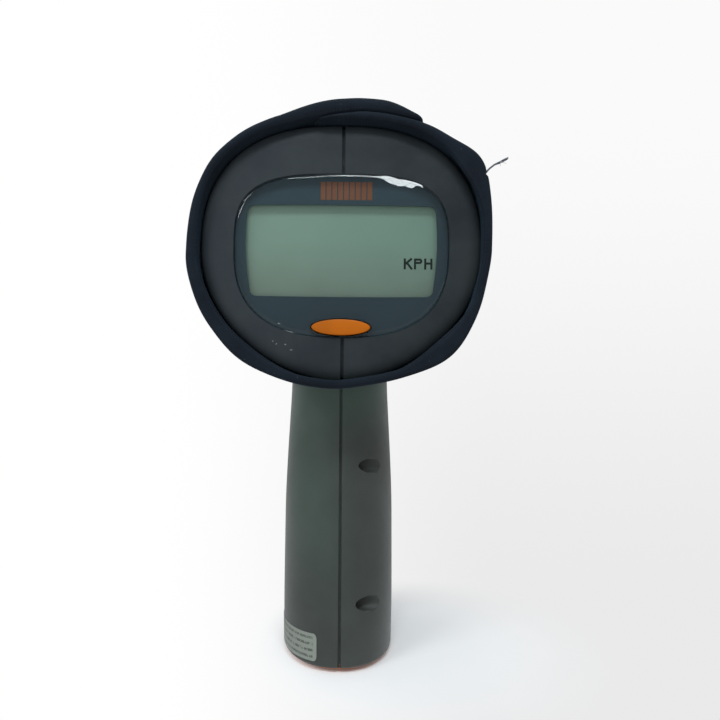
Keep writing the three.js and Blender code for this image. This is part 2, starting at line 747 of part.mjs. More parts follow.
function batteryTube() {
  const { inner, outer, bottom, top } = TUBE;
  const wall = cylinderZ(outer, bottom, top, 0, 0, 32);
  const slot = box(-2.5, 2.5, -20, -10, bottom + 12, top - 12); // eases the cells' removal
  return wall.subtract(cylinderZ(inner, bottom - 1, top + 1, 0, 0, 32)).subtract(slot);
}

function cell(bottom) {
  const { r, length, nub, nubR } = CELL;
  const body = cylinderZ(r, bottom, bottom + length - nub, 0, 0, 28);
  return body.add(cylinderZ(nubR, bottom + length - nub - 0.5, bottom + length, 0, 0, 16));
}

function upperContact() {
  const z0 = CELL_BOTTOM + 2 * CELL.length + 0.5;
  return union(cylinderZ(9, z0, z0 + 0.5, 0, 0, 24), box(-2.5, 2.5, 6, 12.5, z0, z0 + 0.5));
}

function doorContact() {
  return cylinderZ(11, 4.1, 4.6, 0, 0, 24);
}

// Spring leaf beside the door's contact, bent up along the tube's wall.
function batteryLeaf() {
  return box(-17.9, -9.2, -2, 4, 5.3, 5.7).add(box(-17.9, -17.5, -2, 4, 5.3, 15));
}

// Hinged plate that closes the base, with a latch at its rear and a round seat for the lower contact.
function batteryDoor() {
  const { y, z, r } = DOOR_PIN;
  const inset = DOOR_RECESS.inset + DOOR_GAP;
  const frontInset = inset + 1.2;
  const plateBody = loft([
    doorOutline(inset + 0.4, 0, frontInset + 0.4),
    doorOutline(inset, 0.4, frontInset),
    doorOutline(inset, DOOR_TOP_Z, frontInset),
  ]).intersect(box(-40, 40, -40, y - 2.8, -1, 5));
  const web = box(-9, 9, y - 4, y, 0.2, DOOR_TOP_Z);
  const barrel = cylinderX(2.1, -9, 9, y, z);
  const latch = box(-5, 5, -23, -21.6, 1, 7.9).add(box(-5, 5, -23.9, -22.9, 6.6, 7.6));
  const pedestal = solid(geometryOf(cylinderZ(10, 0.9, 3.9, 0, 0, 24)).rotateX(-RAKE).translate(0, CELL_AXIS_Y, 0));
  const aboveBase = box(-40, 40, -40, 40, 0.5, 20);
  return union(plateBody, web, barrel, latch, pedestal.intersect(aboveBase)).subtract(
    cylinderX(r + 0.12, -10, 10, y, z),
  );
}

// ---------------------------------------------------------------- wrap

// The head's section is held constant behind the rear face, where the sleeve stands proud as a hood.
function wrapPoint(angle, y, grow) {
  const point = headPoint(Math.max(y, REAR_Y), angle, grow);
  point.y = y;
  return point;
}

// The angle at which the wrap's outer face reaches a place left of centre, over the top.
function angleAt(x, y) {
  const [, halfWidth, , , squareness] = station(HEAD, Math.max(y, REAR_Y));
  return Math.acos(-((-x / (halfWidth + WRAP.outer)) ** (squareness / 2)));
}

// The ends of the sheet are angles, or functions that give an angle for each y.
function wrapSheet(startOf, endOf, rear, front, grow, across, along) {
  return sheet(
    (u, v, side) => {
      const y = rear + (front - rear) * v;
      const start = typeof startOf === "function" ? startOf(y) : startOf;
      const end = typeof endOf === "function" ? endOf(y) : endOf;
      return wrapPoint(start + (end - start) * u, y, grow(u, side));
    },
    across,
    along,
  );
}

function wrapSleeve() {
  const { rear, front, inner, outer } = WRAP;
  const end = (y) => angleAt(FOLD_X - 0.2, y) - 2 * Math.PI;
  const around = wrapSheet(WRAP_INNER_END, end, rear, front, (u, side) => (side ? outer : inner), 44, 4);
  const gripOpening = loft([gripRing(95, 1.4), gripRing(110, 1.4), gripRing(126, 1.4)]);
  return around.subtract(gripOpening);
}

// The flap climbs from the sleeve's level onto the inner layer in the first part of its length.
function wrapFlap() {
  const { rear, front, inner, outer } = WRAP;
  const climb = 0.19;
  const grow = (u, side) => {
    const rise = THREE.MathUtils.smoothstep(u, 0, climb) * FLAP_LIFT;
    return (side ? outer : inner) + rise;
  };
  const start = (y) => angleAt(FOLD_X + 0.2, y);
  return wrapSheet(start, WRAP_TIP, rear, front, grow, 18, 4);
}

function closureTape(level) {
  const from = THREE.MathUtils.degToRad(96);
  const to = THREE.MathUtils.degToRad(68);
  return wrapSheet(from, to, -24, 50, (u, side) => level + (side ? 0.6 : 0), 8, 3);
}

// ---------------------------------------------------------------- label

function gripLabel() {
  const from = THREE.MathUtils.degToRad(-178);
  const to = THREE.MathUtils.degToRad(-112);
  return sheet(
    (u, v, side) => gripPoint(4.6 + 10.4 * v, from + (to - from) * u, side ? 0.4 : 0.25),
    12,
    2,
  );
}

// ---------------------------------------------------------------- assembly

const gun = new THREE.Group();

function piece(name, shape, look, parent = gun) {
  const geometry = shape.isBufferGeometry ? shape : geometryOf(shape);
  const mesh = new THREE.Mesh(geometry, look);
  mesh.name = name;
  parent.add(mesh);
  return mesh;
}

const halves = caseHalves();
piece("case_left", halves.left, caseGrey);
piece("case_right", halves.right, caseGrey);
CASE_SCREWS.forEach((place, i) => piece(`case_screw_${i + 1}`, caseScrew(place), steel));

piece("front_ring", frontRing(), blackPlastic);
piece("radome", radome(), blackPlastic);
piece("radome_seal", radomeSeal(), seal);
piece("horn_antenna", horn(), aluminium);
piece("oscillator_block", oscillatorBlock(), aluminium);
piece("receiver_board", receiverBoard(), boardGreen);
hornScrewPlaces().forEach((place, i) => piece(`horn_screw_${i + 1}`, hornScrew(place), steel));

piece("display_window", displayWindow(), clearPlastic);
piece("window_mask", windowMask(), maskPrint);
piece("lcd_panel", plate(roundedRectangle(40, 21, 0.6, 0, LCD.z), -26.7, -24, 2), lcdGlass);
piece("lcd_frame", lcdFrame(), blackPlastic);
for (const [name, z] of [
  ["contact_strip_upper", LCD.z + 19.2],
  ["contact_strip_lower", LCD.z - 19.2],
])
  piece(name, box(-37, 37, -23.85, BOARD_Y - 0.15, z - 1.2, z + 1.2), seal);
piece("main_board", mainBoard(), boardGreen);
BOARD_SCREWS.forEach((place, i) => piece(`board_screw_${i + 1}`, boardScrew(place), steel));
piece("mode_button", modeButton(), orangePlastic);
piece("button_switch", buttonSwitch(), blackPlastic);
piece("button_plunger", cylinderY(1.5, -23.7, -22, 0, BUTTON.z, 14), blackPlastic);

piece("trigger", trigger(), blackPlastic);
piece("trigger_pin", cylinderX(TRIGGER_PIN.r, -12, 12, TRIGGER_PIN.y, TRIGGER_PIN.z), steel);
piece("trigger_spring", triggerSpring(), steel);
piece("switch_board", box(-8, 8, 30.65, 31.4, 88, 98), boardGreen);
piece("trigger_switch", triggerSwitch(), blackPlastic);
piece("switch_plunger", cylinderY(1.2, 33.6, 35.8, 0, TRIGGER_SWITCH_Z, 14), orangePlastic);

const batteryBay = new THREE.Group();
batteryBay.position.y = CELL_AXIS_Y;
batteryBay.rotation.x = -RAKE;
gun.add(batteryBay);
piece("battery_tube", batteryTube(), blackPlastic, batteryBay);
piece("cell_lower", cell(CELL_BOTTOM), cellJacket, batteryBay);
piece("cell_upper", cell(CELL_BOTTOM + CELL.length + 0.2), cellJacket, batteryBay);
piece("cell_contact_upper", upperContact(), steel, batteryBay);
piece("door_contact", doorContact(), steel, batteryBay);
const doorSpring = piece("door_spring", coil(7.5, 4, 5.5, 3.5, 0.5), steel, batteryBay);
doorSpring.position.z = 4.75;
piece("battery_leaf", batteryLeaf(), steel);
piece("battery_door", batteryDoor(), orangePlastic);
piece("door_pin", cylinderX(DOOR_PIN.r, -12.6, 12.6, DOOR_PIN.y, DOOR_PIN.z), steel);

const boardFront = BOARD_Y + BOARD_THICK + 0.3;
const leads = {
  battery_lead_red: [redLead, [[4, 27, 112.6], [10, 8, 122], [13, -6, 131], [14, boardFront, 137]]],
  battery_lead_black: [
    blackLead,
    [[-18.9, 3, 13], [-18.6, 9, 45], [-17.8, 13, 80], [-17, 16, 108], [-14, 2, 127], [-12, boardFront, 137]],
  ],
  trigger_lead: [greyLead, [[7, 32.8, 97.4], [14, 27, 107], [18, 8, 123.5], [22, boardFront, 136]]],
};
for (const [name, [look, points]] of Object.entries(leads)) piece(name, wire(points, 0.75, 11), look);

// Flat cable between the receiver and the main board.
const ribbonPath = new THREE.CatmullRomCurve3(
  [[0, 5.2, 176], [0, 0, 181], [0, -8, 186], [0, boardFront, 186]].map((p) => new THREE.Vector3(...p)),
);
const ribbonSection = roundedRectangle(5, 0.4, 0.15);
const ribbon = new THREE.ExtrudeGeometry(ribbonSection, {
  steps: 10,
  extrudePath: ribbonPath,
  bevelEnabled: false,
  curveSegments: 1,
});
piece("receiver_ribbon", solid(ribbon), greyLead);

piece("wrap_sleeve", wrapSleeve(), wrapFabric);
piece("wrap_flap", wrapFlap(), wrapFabric);
piece("loop_tape", closureTape(WRAP.outer + 0.3), tapeFabric);
piece("hook_tape", closureTape(WRAP.outer + 1.1), tapeFabric);
piece("grip_label", gripLabel(), labelFilm);

export default gun;
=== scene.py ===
"""Looks of the speed radar gun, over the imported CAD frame.

Shapes are drawn in millimetres in the row frame: the beam points along +Y, the display faces -Y, +Z is up.
"""
import json
import math

import bmesh
import bpy
import numpy as np
from mathutils import Euler, Matrix, Vector


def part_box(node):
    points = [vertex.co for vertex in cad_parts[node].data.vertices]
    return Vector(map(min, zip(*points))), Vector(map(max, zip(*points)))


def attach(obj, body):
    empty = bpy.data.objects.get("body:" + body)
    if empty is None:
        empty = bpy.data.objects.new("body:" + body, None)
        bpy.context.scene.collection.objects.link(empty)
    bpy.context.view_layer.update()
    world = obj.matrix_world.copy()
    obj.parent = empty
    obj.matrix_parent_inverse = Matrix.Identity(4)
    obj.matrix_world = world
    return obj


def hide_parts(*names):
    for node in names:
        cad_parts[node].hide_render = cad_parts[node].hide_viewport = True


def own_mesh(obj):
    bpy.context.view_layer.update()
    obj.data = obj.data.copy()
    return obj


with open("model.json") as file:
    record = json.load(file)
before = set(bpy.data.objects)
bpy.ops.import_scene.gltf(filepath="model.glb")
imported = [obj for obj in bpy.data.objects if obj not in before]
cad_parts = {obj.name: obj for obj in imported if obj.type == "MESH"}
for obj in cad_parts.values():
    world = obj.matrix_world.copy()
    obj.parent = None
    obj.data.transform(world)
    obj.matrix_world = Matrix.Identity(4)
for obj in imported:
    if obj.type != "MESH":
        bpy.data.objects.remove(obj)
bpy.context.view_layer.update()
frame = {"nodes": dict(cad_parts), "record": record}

MM = 0.001
TAU = 2 * math.pi

# ---------------- dimensions

BEAM_Z = 164.0
REAR_Y = -31.0
CROWN = 1.6  # the rear face bulges by this much at its middle
CASE_FRONT_Y = 80.0
WALL = 2.5
SEAM_X = 0.6
GROOVE = 0.62  # half the width of the groove between the case halves
GROOVE_DEPTH = 1.1
RAKE = math.radians(8)

FACE_HALF_WIDTH, FACE_HALF_HEIGHT = 54.5, 49.5

# y, half width, reach above and below the beam axis, squareness above and below
HEAD = np.array([
    [-31, 54.5, 49.5, 49.5, 2.48, 1.90],
    [-8, 54.5, 49.5, 49.5, 2.45, 1.90],
    [25, 52.2, 48.6, 48.2, 2.25, 1.95],
    [58, 48.2, 47.0, 47.0, 2.05, 2.00],
    [80, 46.5, 46.5, 46.5, 2.00, 2.00],
])
# z, half width, reach in front of and behind the centre line
GRIP = np.array([
    [0, 23.1, 28.0, 27.0],
    [18, 23.6, 28.3, 26.3],
    [45, 23.8, 28.2, 25.2],
    [62, 23.8, 28.1, 24.7],
    [80, 23.25, 28.0, 24.4],
    [95, 22.6, 28.0, 24.0],
    [110, 22.0, 28.0, 23.8],
    [126, 21.9, 29.0, 24.5],
])
GRIP_SQUARENESS = 2.1
GRIP_BOTTOM_Z = 1.3
GRIP_TOP_Z = 126.0
GRIP_EDGE = 1.2

WINDOW_Z = 164.9
LCD_Z = 164.85
BUTTON_Z = 135.1
BUTTON_HALF = (11.3, 3.05)
DOOR_PIN = (22.0, 2.3)

# ---------------- sections


def section(table, at):
    """Columns of a table of sections at each place in at, on smooth curves through its rows."""
    at = np.asarray(at, float)
    place = table[:, 0]
    last = len(place) - 1
    i = np.clip(np.searchsorted(place, at, side="right") - 1, 0, last - 1)
    before, after = np.maximum(i - 1, 0), np.minimum(i + 2, last)
    span = place[i + 1] - place[i]
    t = np.clip((at - place[i]) / span, 0, 1)[..., None]
    start, end = table[i], table[i + 1]
    start_slope = (end - table[before]) / (place[i + 1] - place[before])[..., None] * span[..., None]
    end_slope = (table[after] - start) / (place[after] - place[i])[..., None] * span[..., None]
    cubic = 2 * start - 2 * end + start_slope + end_slope
    square = 3 * end - 3 * start - 2 * start_slope - end_slope
    row = ((cubic * t + square) * t + start_slope) * t + start
    return np.moveaxis(row, -1, 0)


def squared(value, squareness):
    return np.sign(value) * np.abs(value) ** (2 / squareness)


def smoothstep(value, low, high):
    t = np.clip((value - low) / (high - low), 0, 1)
    return t * t * (3 - 2 * t)


def turns(count):
    """Angles once round a circle."""
    return np.linspace(0, TAU, count, endpoint=False)


def head_points(y, angle, grow=0.0):
    """Points on the head's outside, grown outwards. The angle runs from the user's right over the top."""
    y, angle, grow = np.broadcast_arrays(np.asarray(y, float), angle, grow)
    _, half_width, above, below, square_above, square_below = section(HEAD, y)
    up = np.sin(angle) >= 0
    squareness = np.where(up, square_above, square_below)
    x = (half_width + grow) * squared(np.cos(angle), squareness)
    z = (np.where(up, above, below) + grow) * squared(np.sin(angle), squareness)
    return np.stack([x, y, BEAM_Z + z], -1)


def grip_centre(z):
    return z * math.tan(RAKE)


def grip_points(z, angle, grow=0.0):
    """Points on the grip's outside, grown outwards. The angle runs from the user's right over the front."""
    z, angle, grow = np.broadcast_arrays(np.asarray(z, float), angle, grow)
    _, half_width, front, back = section(GRIP, z)
    reach = np.where(np.sin(angle) >= 0, front, back) + grow
    x = (half_width + grow) * squared(np.cos(angle), GRIP_SQUARENESS)
    y = grip_centre(z) + reach * squared(np.sin(angle), GRIP_SQUARENESS)
    return np.stack([x, y, z], -1)


def even_angles(curve, count):
    """Angles that space points evenly along a closed curve of the angle."""
    fine = np.linspace(0, TAU, 4001)
    steps = np.linalg.norm(np.diff(curve(fine), axis=0), axis=1)
    length = np.concatenate([[0], np.cumsum(steps)])
    return np.interp(np.linspace(0, length[-1], count + 1)[:-1], length, fine)


def head_angles(count):
    return even_angles(lambda angle: head_points(REAR_Y, angle)[:, [0, 2]], count)


def grip_angles(count, z=40.0):
    return even_angles(lambda angle: grip_points(z, angle)[:, :2], count)


def face_y(x, z):
    """Depth of the crowned rear face."""
    reach = (x / FACE_HALF_WIDTH) ** 2 + ((z - BEAM_Z) / FACE_HALF_HEIGHT) ** 2
    return REAR_Y - CROWN * np.clip(1 - reach, 0, 1)


# ---------------- outlines in x and z


def window_outline(angle, grow=0.0):
    """The display window: a squarish oval with a gently arched top."""
    up = np.sin(angle) >= 0
    squareness = np.where(up, 3.3, 2.6)
    x = (41.2 + grow) * squared(np.cos(angle), squareness)
    z = (np.where(up, 28.7, 33.7) + grow) * squared(np.sin(angle), squareness)
    return x, WINDOW_Z + z


def window_angles(count):
    return even_angles(lambda angle: np.stack(window_outline(angle), -1), count)


def button_outline(wider=0.0, taller=0.0, count=72):
    """The button's ellipse, or a hole round it."""
    half_width, half_height = BUTTON_HALF
    angle = turns(count)
    return (half_width + wider) * np.cos(angle), BUTTON_Z + (half_height + taller) * np.sin(angle)


def rounded_quad(top, bottom, half_height, centre_z, radius, per_corner, side_bow=0.0, level_bow=0.0):
    """A shape with half widths at its top and bottom, round corners, and edges that may bow outwards."""
    half_widths = np.array([top, -top, -bottom, bottom])
    corners = np.stack([half_widths, half_height * np.array([1, 1, -1, -1])], -1)
    points = []
    for k, corner in enumerate(corners):
        following = corners[(k + 1) % 4]
        for angle in k * math.pi / 2 + np.linspace(0, math.pi / 2, per_corner):
            round_point = radius * np.array([math.cos(angle), math.sin(angle)])
            points.append(corner - radius * np.sign(corner) + round_point)
        upright = k % 2 == 1
        along = np.array([0, 1] if upright else [1, 0])
        start = corner - radius * np.sign(corner) * along
        end = following - radius * np.sign(following) * along
        bow = (side_bow if upright else level_bow) * np.sign(corner) * (1 - along)
        for share in np.linspace(0, 1, 14)[1:-1]:
            points.append(start + (end - start) * share + bow * math.sin(math.pi * share))
    x, z = np.array(points).T
    return x, centre_z + z


# ---------------- meshes


def make_mesh(name, points, faces):
    mesh = bpy.data.meshes.new(name)
    mesh.from_pydata((np.asarray(points) * MM).tolist(), [], faces)
    mesh.validate()
    obj = bpy.data.objects.new(name, mesh)
    bpy.context.scene.collection.objects.link(obj)
    return obj


def skin(name, rings, looped=False):
    """A closed solid through rings of equally many points: a torus if looped, else with end faces."""
    rings = np.asarray(rings, float)
    count, size = rings.shape[:2]
    faces = []
    for i in range(count if looped else count - 1):
        a, b = i * size, ((i + 1) % count) * size
        for j in range(size):
            k = (j + 1) % size
            faces.append((a + j, a + k, b + k, b + j))
    if not looped:
        faces.append(tuple(range(size - 1, -1, -1)))
        faces.append(tuple(range((count - 1) * size, count * size)))
    obj = make_mesh(name, rings.reshape(-1, 3), faces)
    sides = bmesh.new()
    sides.from_mesh(obj.data)
    bmesh.ops.recalc_face_normals(sides, faces=sides.faces)
    sides.to_mesh(obj.data)
    sides.free()
    return obj


def ring_at(y, x, z):
    """A ring of points x, z at one depth, or at a depth for each point."""
    return np.stack([x, y + 0 * x, z], -1)


def prism(name, outline, y0, y1):
    """A solid with an outline in x and z, between two depths."""
    return skin(name, [ring_at(y, *outline) for y in (y0, y1)])


def box(name, low, high):
    (x0, y0, z0), (x1, y1, z1) = low, high
    return skin(name, [[(x0, y0, z), (x1, y0, z), (x1, y1, z), (x0, y1, z)] for z in (z0, z1)])


def turned(name, profile, axis, centre, count=64, looped=False):
    """A solid of revolution about X or Y. The profile is (distance along the axis, radius) pairs."""
    rings = []
    for along, radius in profile:
        columns = [centre[0] + radius * np.cos(turns(count)), centre[1] + radius * np.sin(turns(count))]
        columns.insert("XY".index(axis), np.full(count, float(along)))
        rings.append(np.stack(columns, -1))
    return skin(name, rings, looped)


def rod(name, radius, x0, x1, centre, count=32):
    """A plain cylinder along X."""
    return turned(name, [(x0, radius), (x1, radius)], "X", centre, count)


def tube(name, path, radii, count=6):
    """A thin round strand along a path, with a radius at each point."""
    path = np.array(path, float)
    ahead = np.gradient(path, axis=0)
    ahead /= np.linalg.norm(ahead, axis=1, keepdims=True)
    angle = turns(count)[:, None]
    rings = []
    for point, along, radius in zip(path, ahead, radii):
        first = np.cross(along, (0.0, 1.0, 0.0))
        first /= np.linalg.norm(first)
        second = np.cross(along, first)
        rings.append(point + radius * (np.cos(angle) * first + np.sin(angle) * second))
    return skin(name, rings)


def carve(obj, operation, *others):
    """Applies a boolean with each of the others, which are used up."""
    for other in others:
        change = obj.modifiers.new("carve", "BOOLEAN")
        change.operation = operation
        change.solver = "MANIFOLD"
        change.object = other
        shape = obj.evaluated_get(bpy.context.evaluated_depsgraph_get())
        mesh = bpy.data.meshes.new_from_object(shape)
        obj.modifiers.clear()
        obj.data = mesh
        bpy.data.objects.remove(other)
    return obj


def copy_of(obj):
    twin = obj.copy()
    twin.data = obj.data.copy()
    bpy.context.scene.collection.objects.link(twin)
    return twin


def join(name, objects):
    """Joins objects into one, which replaces them."""
    points, faces = [], []
    for obj in objects:
        start = len(points)
        points += [tuple(v.co / MM) for v in obj.data.vertices]
        faces += [tuple(i + start for i in p.vertices) for p in obj.data.polygons]
        bpy.data.objects.remove(obj)
    return make_mesh(name, points, faces)


def smooth(obj, degrees=40):
    """Smooth shading, with creases kept where faces meet at more than this angle."""
    mesh = obj.data
    mesh.polygons.foreach_set("use_smooth", [True] * len(mesh.polygons))
    mesh.set_sharp_from_angle(angle=math.radians(degrees))
    return obj


def map_flat(obj, flat):
    """Gives a mesh a map of flat positions in millimetres, one for each vertex."""
    layer = obj.data.uv_layers.new(name="flat")
    corners = np.zeros(len(obj.data.loops), int)
    obj.data.loops.foreach_get("vertex_index", corners)
    layer.data.foreach_set("uv", np.array(flat, float).reshape(-1, 2)[corners].ravel())


def corner_inset(distance, radius):
    """How far a round corner draws an edge in, at a distance from the corner's end."""
    return radius - math.sqrt(max(radius ** 2 - max(radius - distance, 0) ** 2, 0))


def place(obj, look, body, slot, *nodes):
    """Gives a finished piece its material and body, and hides the CAD nodes it stands for. The slot is not
    used.
    """
    obj.data.materials.clear()
    obj.data.materials.append(look)
    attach(obj, body)
    if nodes:
        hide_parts(*nodes)


# ---------------- materials


def linear(*rgb):
    """sRGB 0 to 255 as a linear colour."""
    values = [c / 255 for c in rgb]
    return tuple(c / 12.92 if c <= 0.04045 else ((c + 0.055) / 1.055) ** 2.4 for c in values) + (1.0,)


def brighter(color, factor):
    return tuple(min(c * factor, 1) for c in color[:3]) + (1.0,)


class Graph:
    """A shader node tree, with short ways to add to it. A value is a constant or another node's output."""

    def __init__(self, tree):
        self.tree = tree

    def plug(self, value, socket):
        if isinstance(value, bpy.types.NodeSocket):
            self.tree.links.new(value, socket)
        else:
            socket.default_value = value

    def node(self, kind, values=None, **settings):
        """Adds a node, with values for its inputs by name or index."""
        made = self.tree.nodes.new("ShaderNode" + kind)
        for key, value in settings.items():
            setattr(made, key, value)
        for key, value in (values or {}).items():
            self.plug(value, made.inputs[key])
        return made

    def math(self, operation, a, b=0.0):
        return self.node("Math", {0: a, 1: b}, operation=operation).outputs[0]

    def times(self, a, b):
        return self.math("MULTIPLY", a, b)

    def vector(self, operation, a, b):
        return self.node("VectorMath", {0: a, 1: b}, operation=operation).outputs[0]

    def length(self, vector):
        return self.node("VectorMath", {0: vector}, operation="LENGTH").outputs["Value"]

    def split(self, vector):
        """The vector's x, y and z."""
        return self.node("SeparateXYZ", {0: vector}).outputs[:]

    def position(self):
        """Rest position in millimetres."""
        return self.vector("MULTIPLY", self.node("TexCoord").outputs["Object"], (1 / MM, 1 / MM, 1 / MM))

    def noise(self, at, scale, detail=3.0, roughness=0.5):
        values = {"Vector": at, "Scale": scale, "Detail": detail, "Roughness": roughness}
        return self.node("TexNoise", values).outputs["Fac"]

    def ramp(self, value, low, high, to_low=0.0, to_high=1.0, kind="SMOOTHSTEP"):
        keys = {"Value": value, "From Min": low, "From Max": high, "To Min": to_low, "To Max": to_high}
        return self.node("MapRange", keys, interpolation_type=kind).outputs["Result"]

    def mix(self, amount, a, b, mode="MIX"):
        """Colour a turned to colour b by an amount. Sockets 6, 7 and 2 are the Mix node's colours."""
        return self.node("Mix", {0: amount, 6: a, 7: b}, data_type="RGBA", blend_type=mode).outputs[2]

    def mix_shaders(self, amount, a, b):
        return self.node("MixShader", {"Fac": amount, 1: a, 2: b}).outputs[0]

    def bump(self, height, depth, strength=1.0, normal=None):
        """Normal of a relief, its depth in millimetres, over another normal."""
        values = {"Height": height, "Distance": depth * MM, "Strength": strength}
        if normal is not None:
            values["Normal"] = normal
        return self.node("Bump", values).outputs["Normal"]

    def rounded(self, radius):
        """Normal of edges rounded by a small radius in millimetres."""
        return self.node("Bevel", {"Radius": radius * MM}, samples=4).outputs["Normal"]


class Look(Graph):
    """A material round a Principled shader, whose inputs are named with _ for a space."""

    def __init__(self, name, color, roughness, **inputs):
        self.material = bpy.data.materials.new(name)
        self.material.use_nodes = True
        super().__init__(self.material.node_tree)
        self.shader = self.tree.nodes["Principled BSDF"]
        self.set(Base_Color=color, Roughness=roughness, **inputs)

    def set(self, **inputs):
        for name, value in inputs.items():
            self.plug(value, self.shader.inputs[name.replace("_", " ")])


def moulded_plastic(name, color, roughness=0.5, grain=0.02, edge=0.35, tint=0.12, specular=0.4):
    """Moulded plastic with a fine spark-eroded grain, faint blotches and rounded edges."""
    look = Look(name, color, roughness, Specular_IOR_Level=specular)
    at = look.position()
    blotches = look.ramp(look.noise(at, 0.05, 4.0, 0.6), 0.35, 0.65)
    wear = look.noise(at, 0.18, 5.0, 0.65)
    fine = look.noise(at, 3.2, 2.0, 0.6)
    look.set(
        Base_Color=look.mix(blotches, brighter(color, 1 - tint), brighter(color, 1 + tint)),
        Roughness=look.ramp(wear, 0.3, 0.7, roughness - 0.06, roughness + 0.08),
        Normal=look.bump(fine, grain, 0.7, look.rounded(edge)),
    )
    return look.material


def metal(name, color, roughness, scratch=1.0):
    """Bare metal with fine scratches along X."""
    look = Look(name, color, roughness, Metallic=1.0)
    lines = look.noise(look.vector("MULTIPLY", look.position(), (0.3, 4.0, 4.0)), scratch, 6.0, 0.7)
    look.set(
        Roughness=look.ramp(lines, 0.3, 0.7, roughness - 0.08, roughness + 0.14),
        Normal=look.bump(lines, 0.01, 0.4, look.rounded(0.15)),
    )
    return look.material


SCUFF_COLOR = linear(150, 155, 158)
SCUFF_HALF_WIDTH = 0.22
# Pale scuffs low on the left of the display face: x, z, half length in millimetres, lean in radians
SCUFFS = [
    (-23.6, 136.4, 0.55, 0.2), (-19.8, 133.4, 2.6, -0.25), (-24.6, 128.6, 0.45, 0.9),
    (-21.2, 128.4, 0.5, -0.3), (-18.9, 126.3, 0.6, 0.1), (-26.0, 129.6, 0.3, 0.0),
]


def scuff_marks(look, at):
    """How much a point is scuffed, from 0 to 0.6."""
    broken = look.ramp(look.noise(at, 2.0), 0.35, 0.6, 0.3)
    marks = 0.0
    for x, z, half_length, lean in SCUFFS:
        there = look.vector("SUBTRACT", at, (x, 0, z))
        there = look.node("VectorRotate", {"Vector": there, "Angle": lean}, rotation_type="Y_AXIS").outputs[0]
        there = look.vector("MULTIPLY", there, (1 / half_length, 0, 1 / SCUFF_HALF_WIDTH))
        marks = look.math("MAXIMUM", marks, look.times(look.ramp(look.length(there), 1.0, 0.5), broken))
    depth = look.split(at)[1]
    return look.times(marks, look.ramp(depth, -28.0, -30.0, 0.0, 0.6))


def case_plastic():
    """Grey-green plastic, more neutral to the right and low on the grip, with painted light that pales the
    grip's top under the head, and darker on the display face, where a painted shade darkens it further to the
    right.
    """
    look = Look("case_plastic", linear(43, 58, 51), 0.55)
    at = look.position()
    x, y, z = look.split(at)
    on_face = look.times(look.ramp(z, 110.0, 118.0), look.ramp(y, 60.0, -10.0))
    neutral = look.math("MAXIMUM", look.ramp(x, -14.0, 10.0), look.ramp(z, 75.0, 10.0))
    grip = look.mix(neutral, linear(43, 58, 51), linear(43, 48, 45))
    # Painted light: the grip is paler towards its top, where the head shades it.
    grip = look.mix(look.ramp(z, 82.0, 116.0), grip, linear(58, 76, 68))
    # Painted shade: the display face darkens towards the right, away from the light on the upper left.
    face = look.mix(look.ramp(x, -35.0, 35.0), linear(38, 43, 48), linear(30, 35, 39))
    blotches = look.ramp(look.noise(at, 0.04, 4.0, 0.6), 0.3, 0.7)
    base = look.mix(look.times(blotches, 0.12), look.mix(on_face, grip, face), linear(80, 88, 84))
    wear = look.noise(at, 0.15, 5.0, 0.65)
    fine = look.noise(at, 3.0, 2.0, 0.6)
    look.set(
        Base_Color=look.mix(scuff_marks(look, at), base, SCUFF_COLOR),
        Specular_IOR_Level=look.ramp(on_face, 0.0, 1.0, 0.42, 0.1),
        Sheen_Weight=look.ramp(on_face, 0.0, 1.0, 0.18, 0.0),
        Roughness=look.ramp(wear, 0.3, 0.7, 0.5, 0.62),
        Normal=look.bump(fine, 0.022, 0.7, look.rounded(0.4)),
    )
    return look.material


def clear_acrylic():
    """See-through acrylic with a slightly rippled mirror reflection that grows at grazing angles."""
    made = bpy.data.materials.new("clear_acrylic")
    made.use_nodes = True
    made.node_tree.nodes.clear()
    look = Graph(made.node_tree)
    at = look.position()
    ripple = look.bump(look.noise(at, 0.13, 3.0, 0.6), 0.12, 0.25)
    see = look.node("BsdfTransparent", {"Color": (0.975, 0.985, 0.985, 1)}).outputs[0]
    shine = look.node("BsdfGlossy", {"Roughness": 0.03, "Normal": ripple}).outputs[0]
    scratch = look.node("BsdfDiffuse", {"Color": SCUFF_COLOR}).outputs[0]
    from_outside = look.math("SUBTRACT", 1.0, look.node("NewGeometry").outputs["Backfacing"])
    mirrored = look.times(look.node("Fresnel", {"IOR": 1.58, "Normal": ripple}).outputs[0], from_outside)
    surface = look.mix_shaders(scuff_marks(look, at), look.mix_shaders(mirrored, see, shine), scratch)
    look.node("OutputMaterial", {"Surface": surface})
    return made


def display_print(name, color, roughness=0.5):
    """Ink on the back of the window, slightly uneven, with painted light that pales it high on the left."""
    look = Look(name, color, roughness, Specular_IOR_Level=0.05)
    at = look.position()
    x, _, z = look.split(at)
    uneven = look.ramp(look.noise(at, 0.06, 3.0), 0.3, 0.7, 0.0, 0.25)
    # Painted light: paler towards the upper left, where the light comes from, darker to the lower right.
    slope = look.ramp(look.math("SUBTRACT", z, look.times(x, 0.5)), 130.0, 200.0, -0.3, 0.75)
    look.set(Base_Color=look.mix(look.math("ADD", uneven, slope), color, brighter(color, 1.3)))
    return look.material


def liquid_crystal():
    """Reflective display face: pale grey-green, greener to the left, with a painted reflection that darkens
    it low down towards brown.
    """
    look = Look("lcd_face", linear(104, 128, 117), 0.3, Specular_IOR_Level=0.3)
    at = look.position()
    x, _, z = look.split(at)
    color = look.mix(look.ramp(x, -36.0, 34.0), linear(105, 128, 115), linear(97, 121, 109))
    # Painted reflection: darker and browner low down.
    color = look.mix(look.times(look.ramp(z, 172.0, 147.0), 0.4), color, linear(74, 69, 60))
    cloud = look.ramp(look.noise(at, 0.05, 3.0), 0.35, 0.65, 0.0, 0.12)
    look.set(
        Base_Color=look.mix(cloud, color, linear(118, 140, 130)),
        Normal=look.bump(look.noise(at, 6.0, 1.0), 0.004, 0.5),
    )
    return look.material


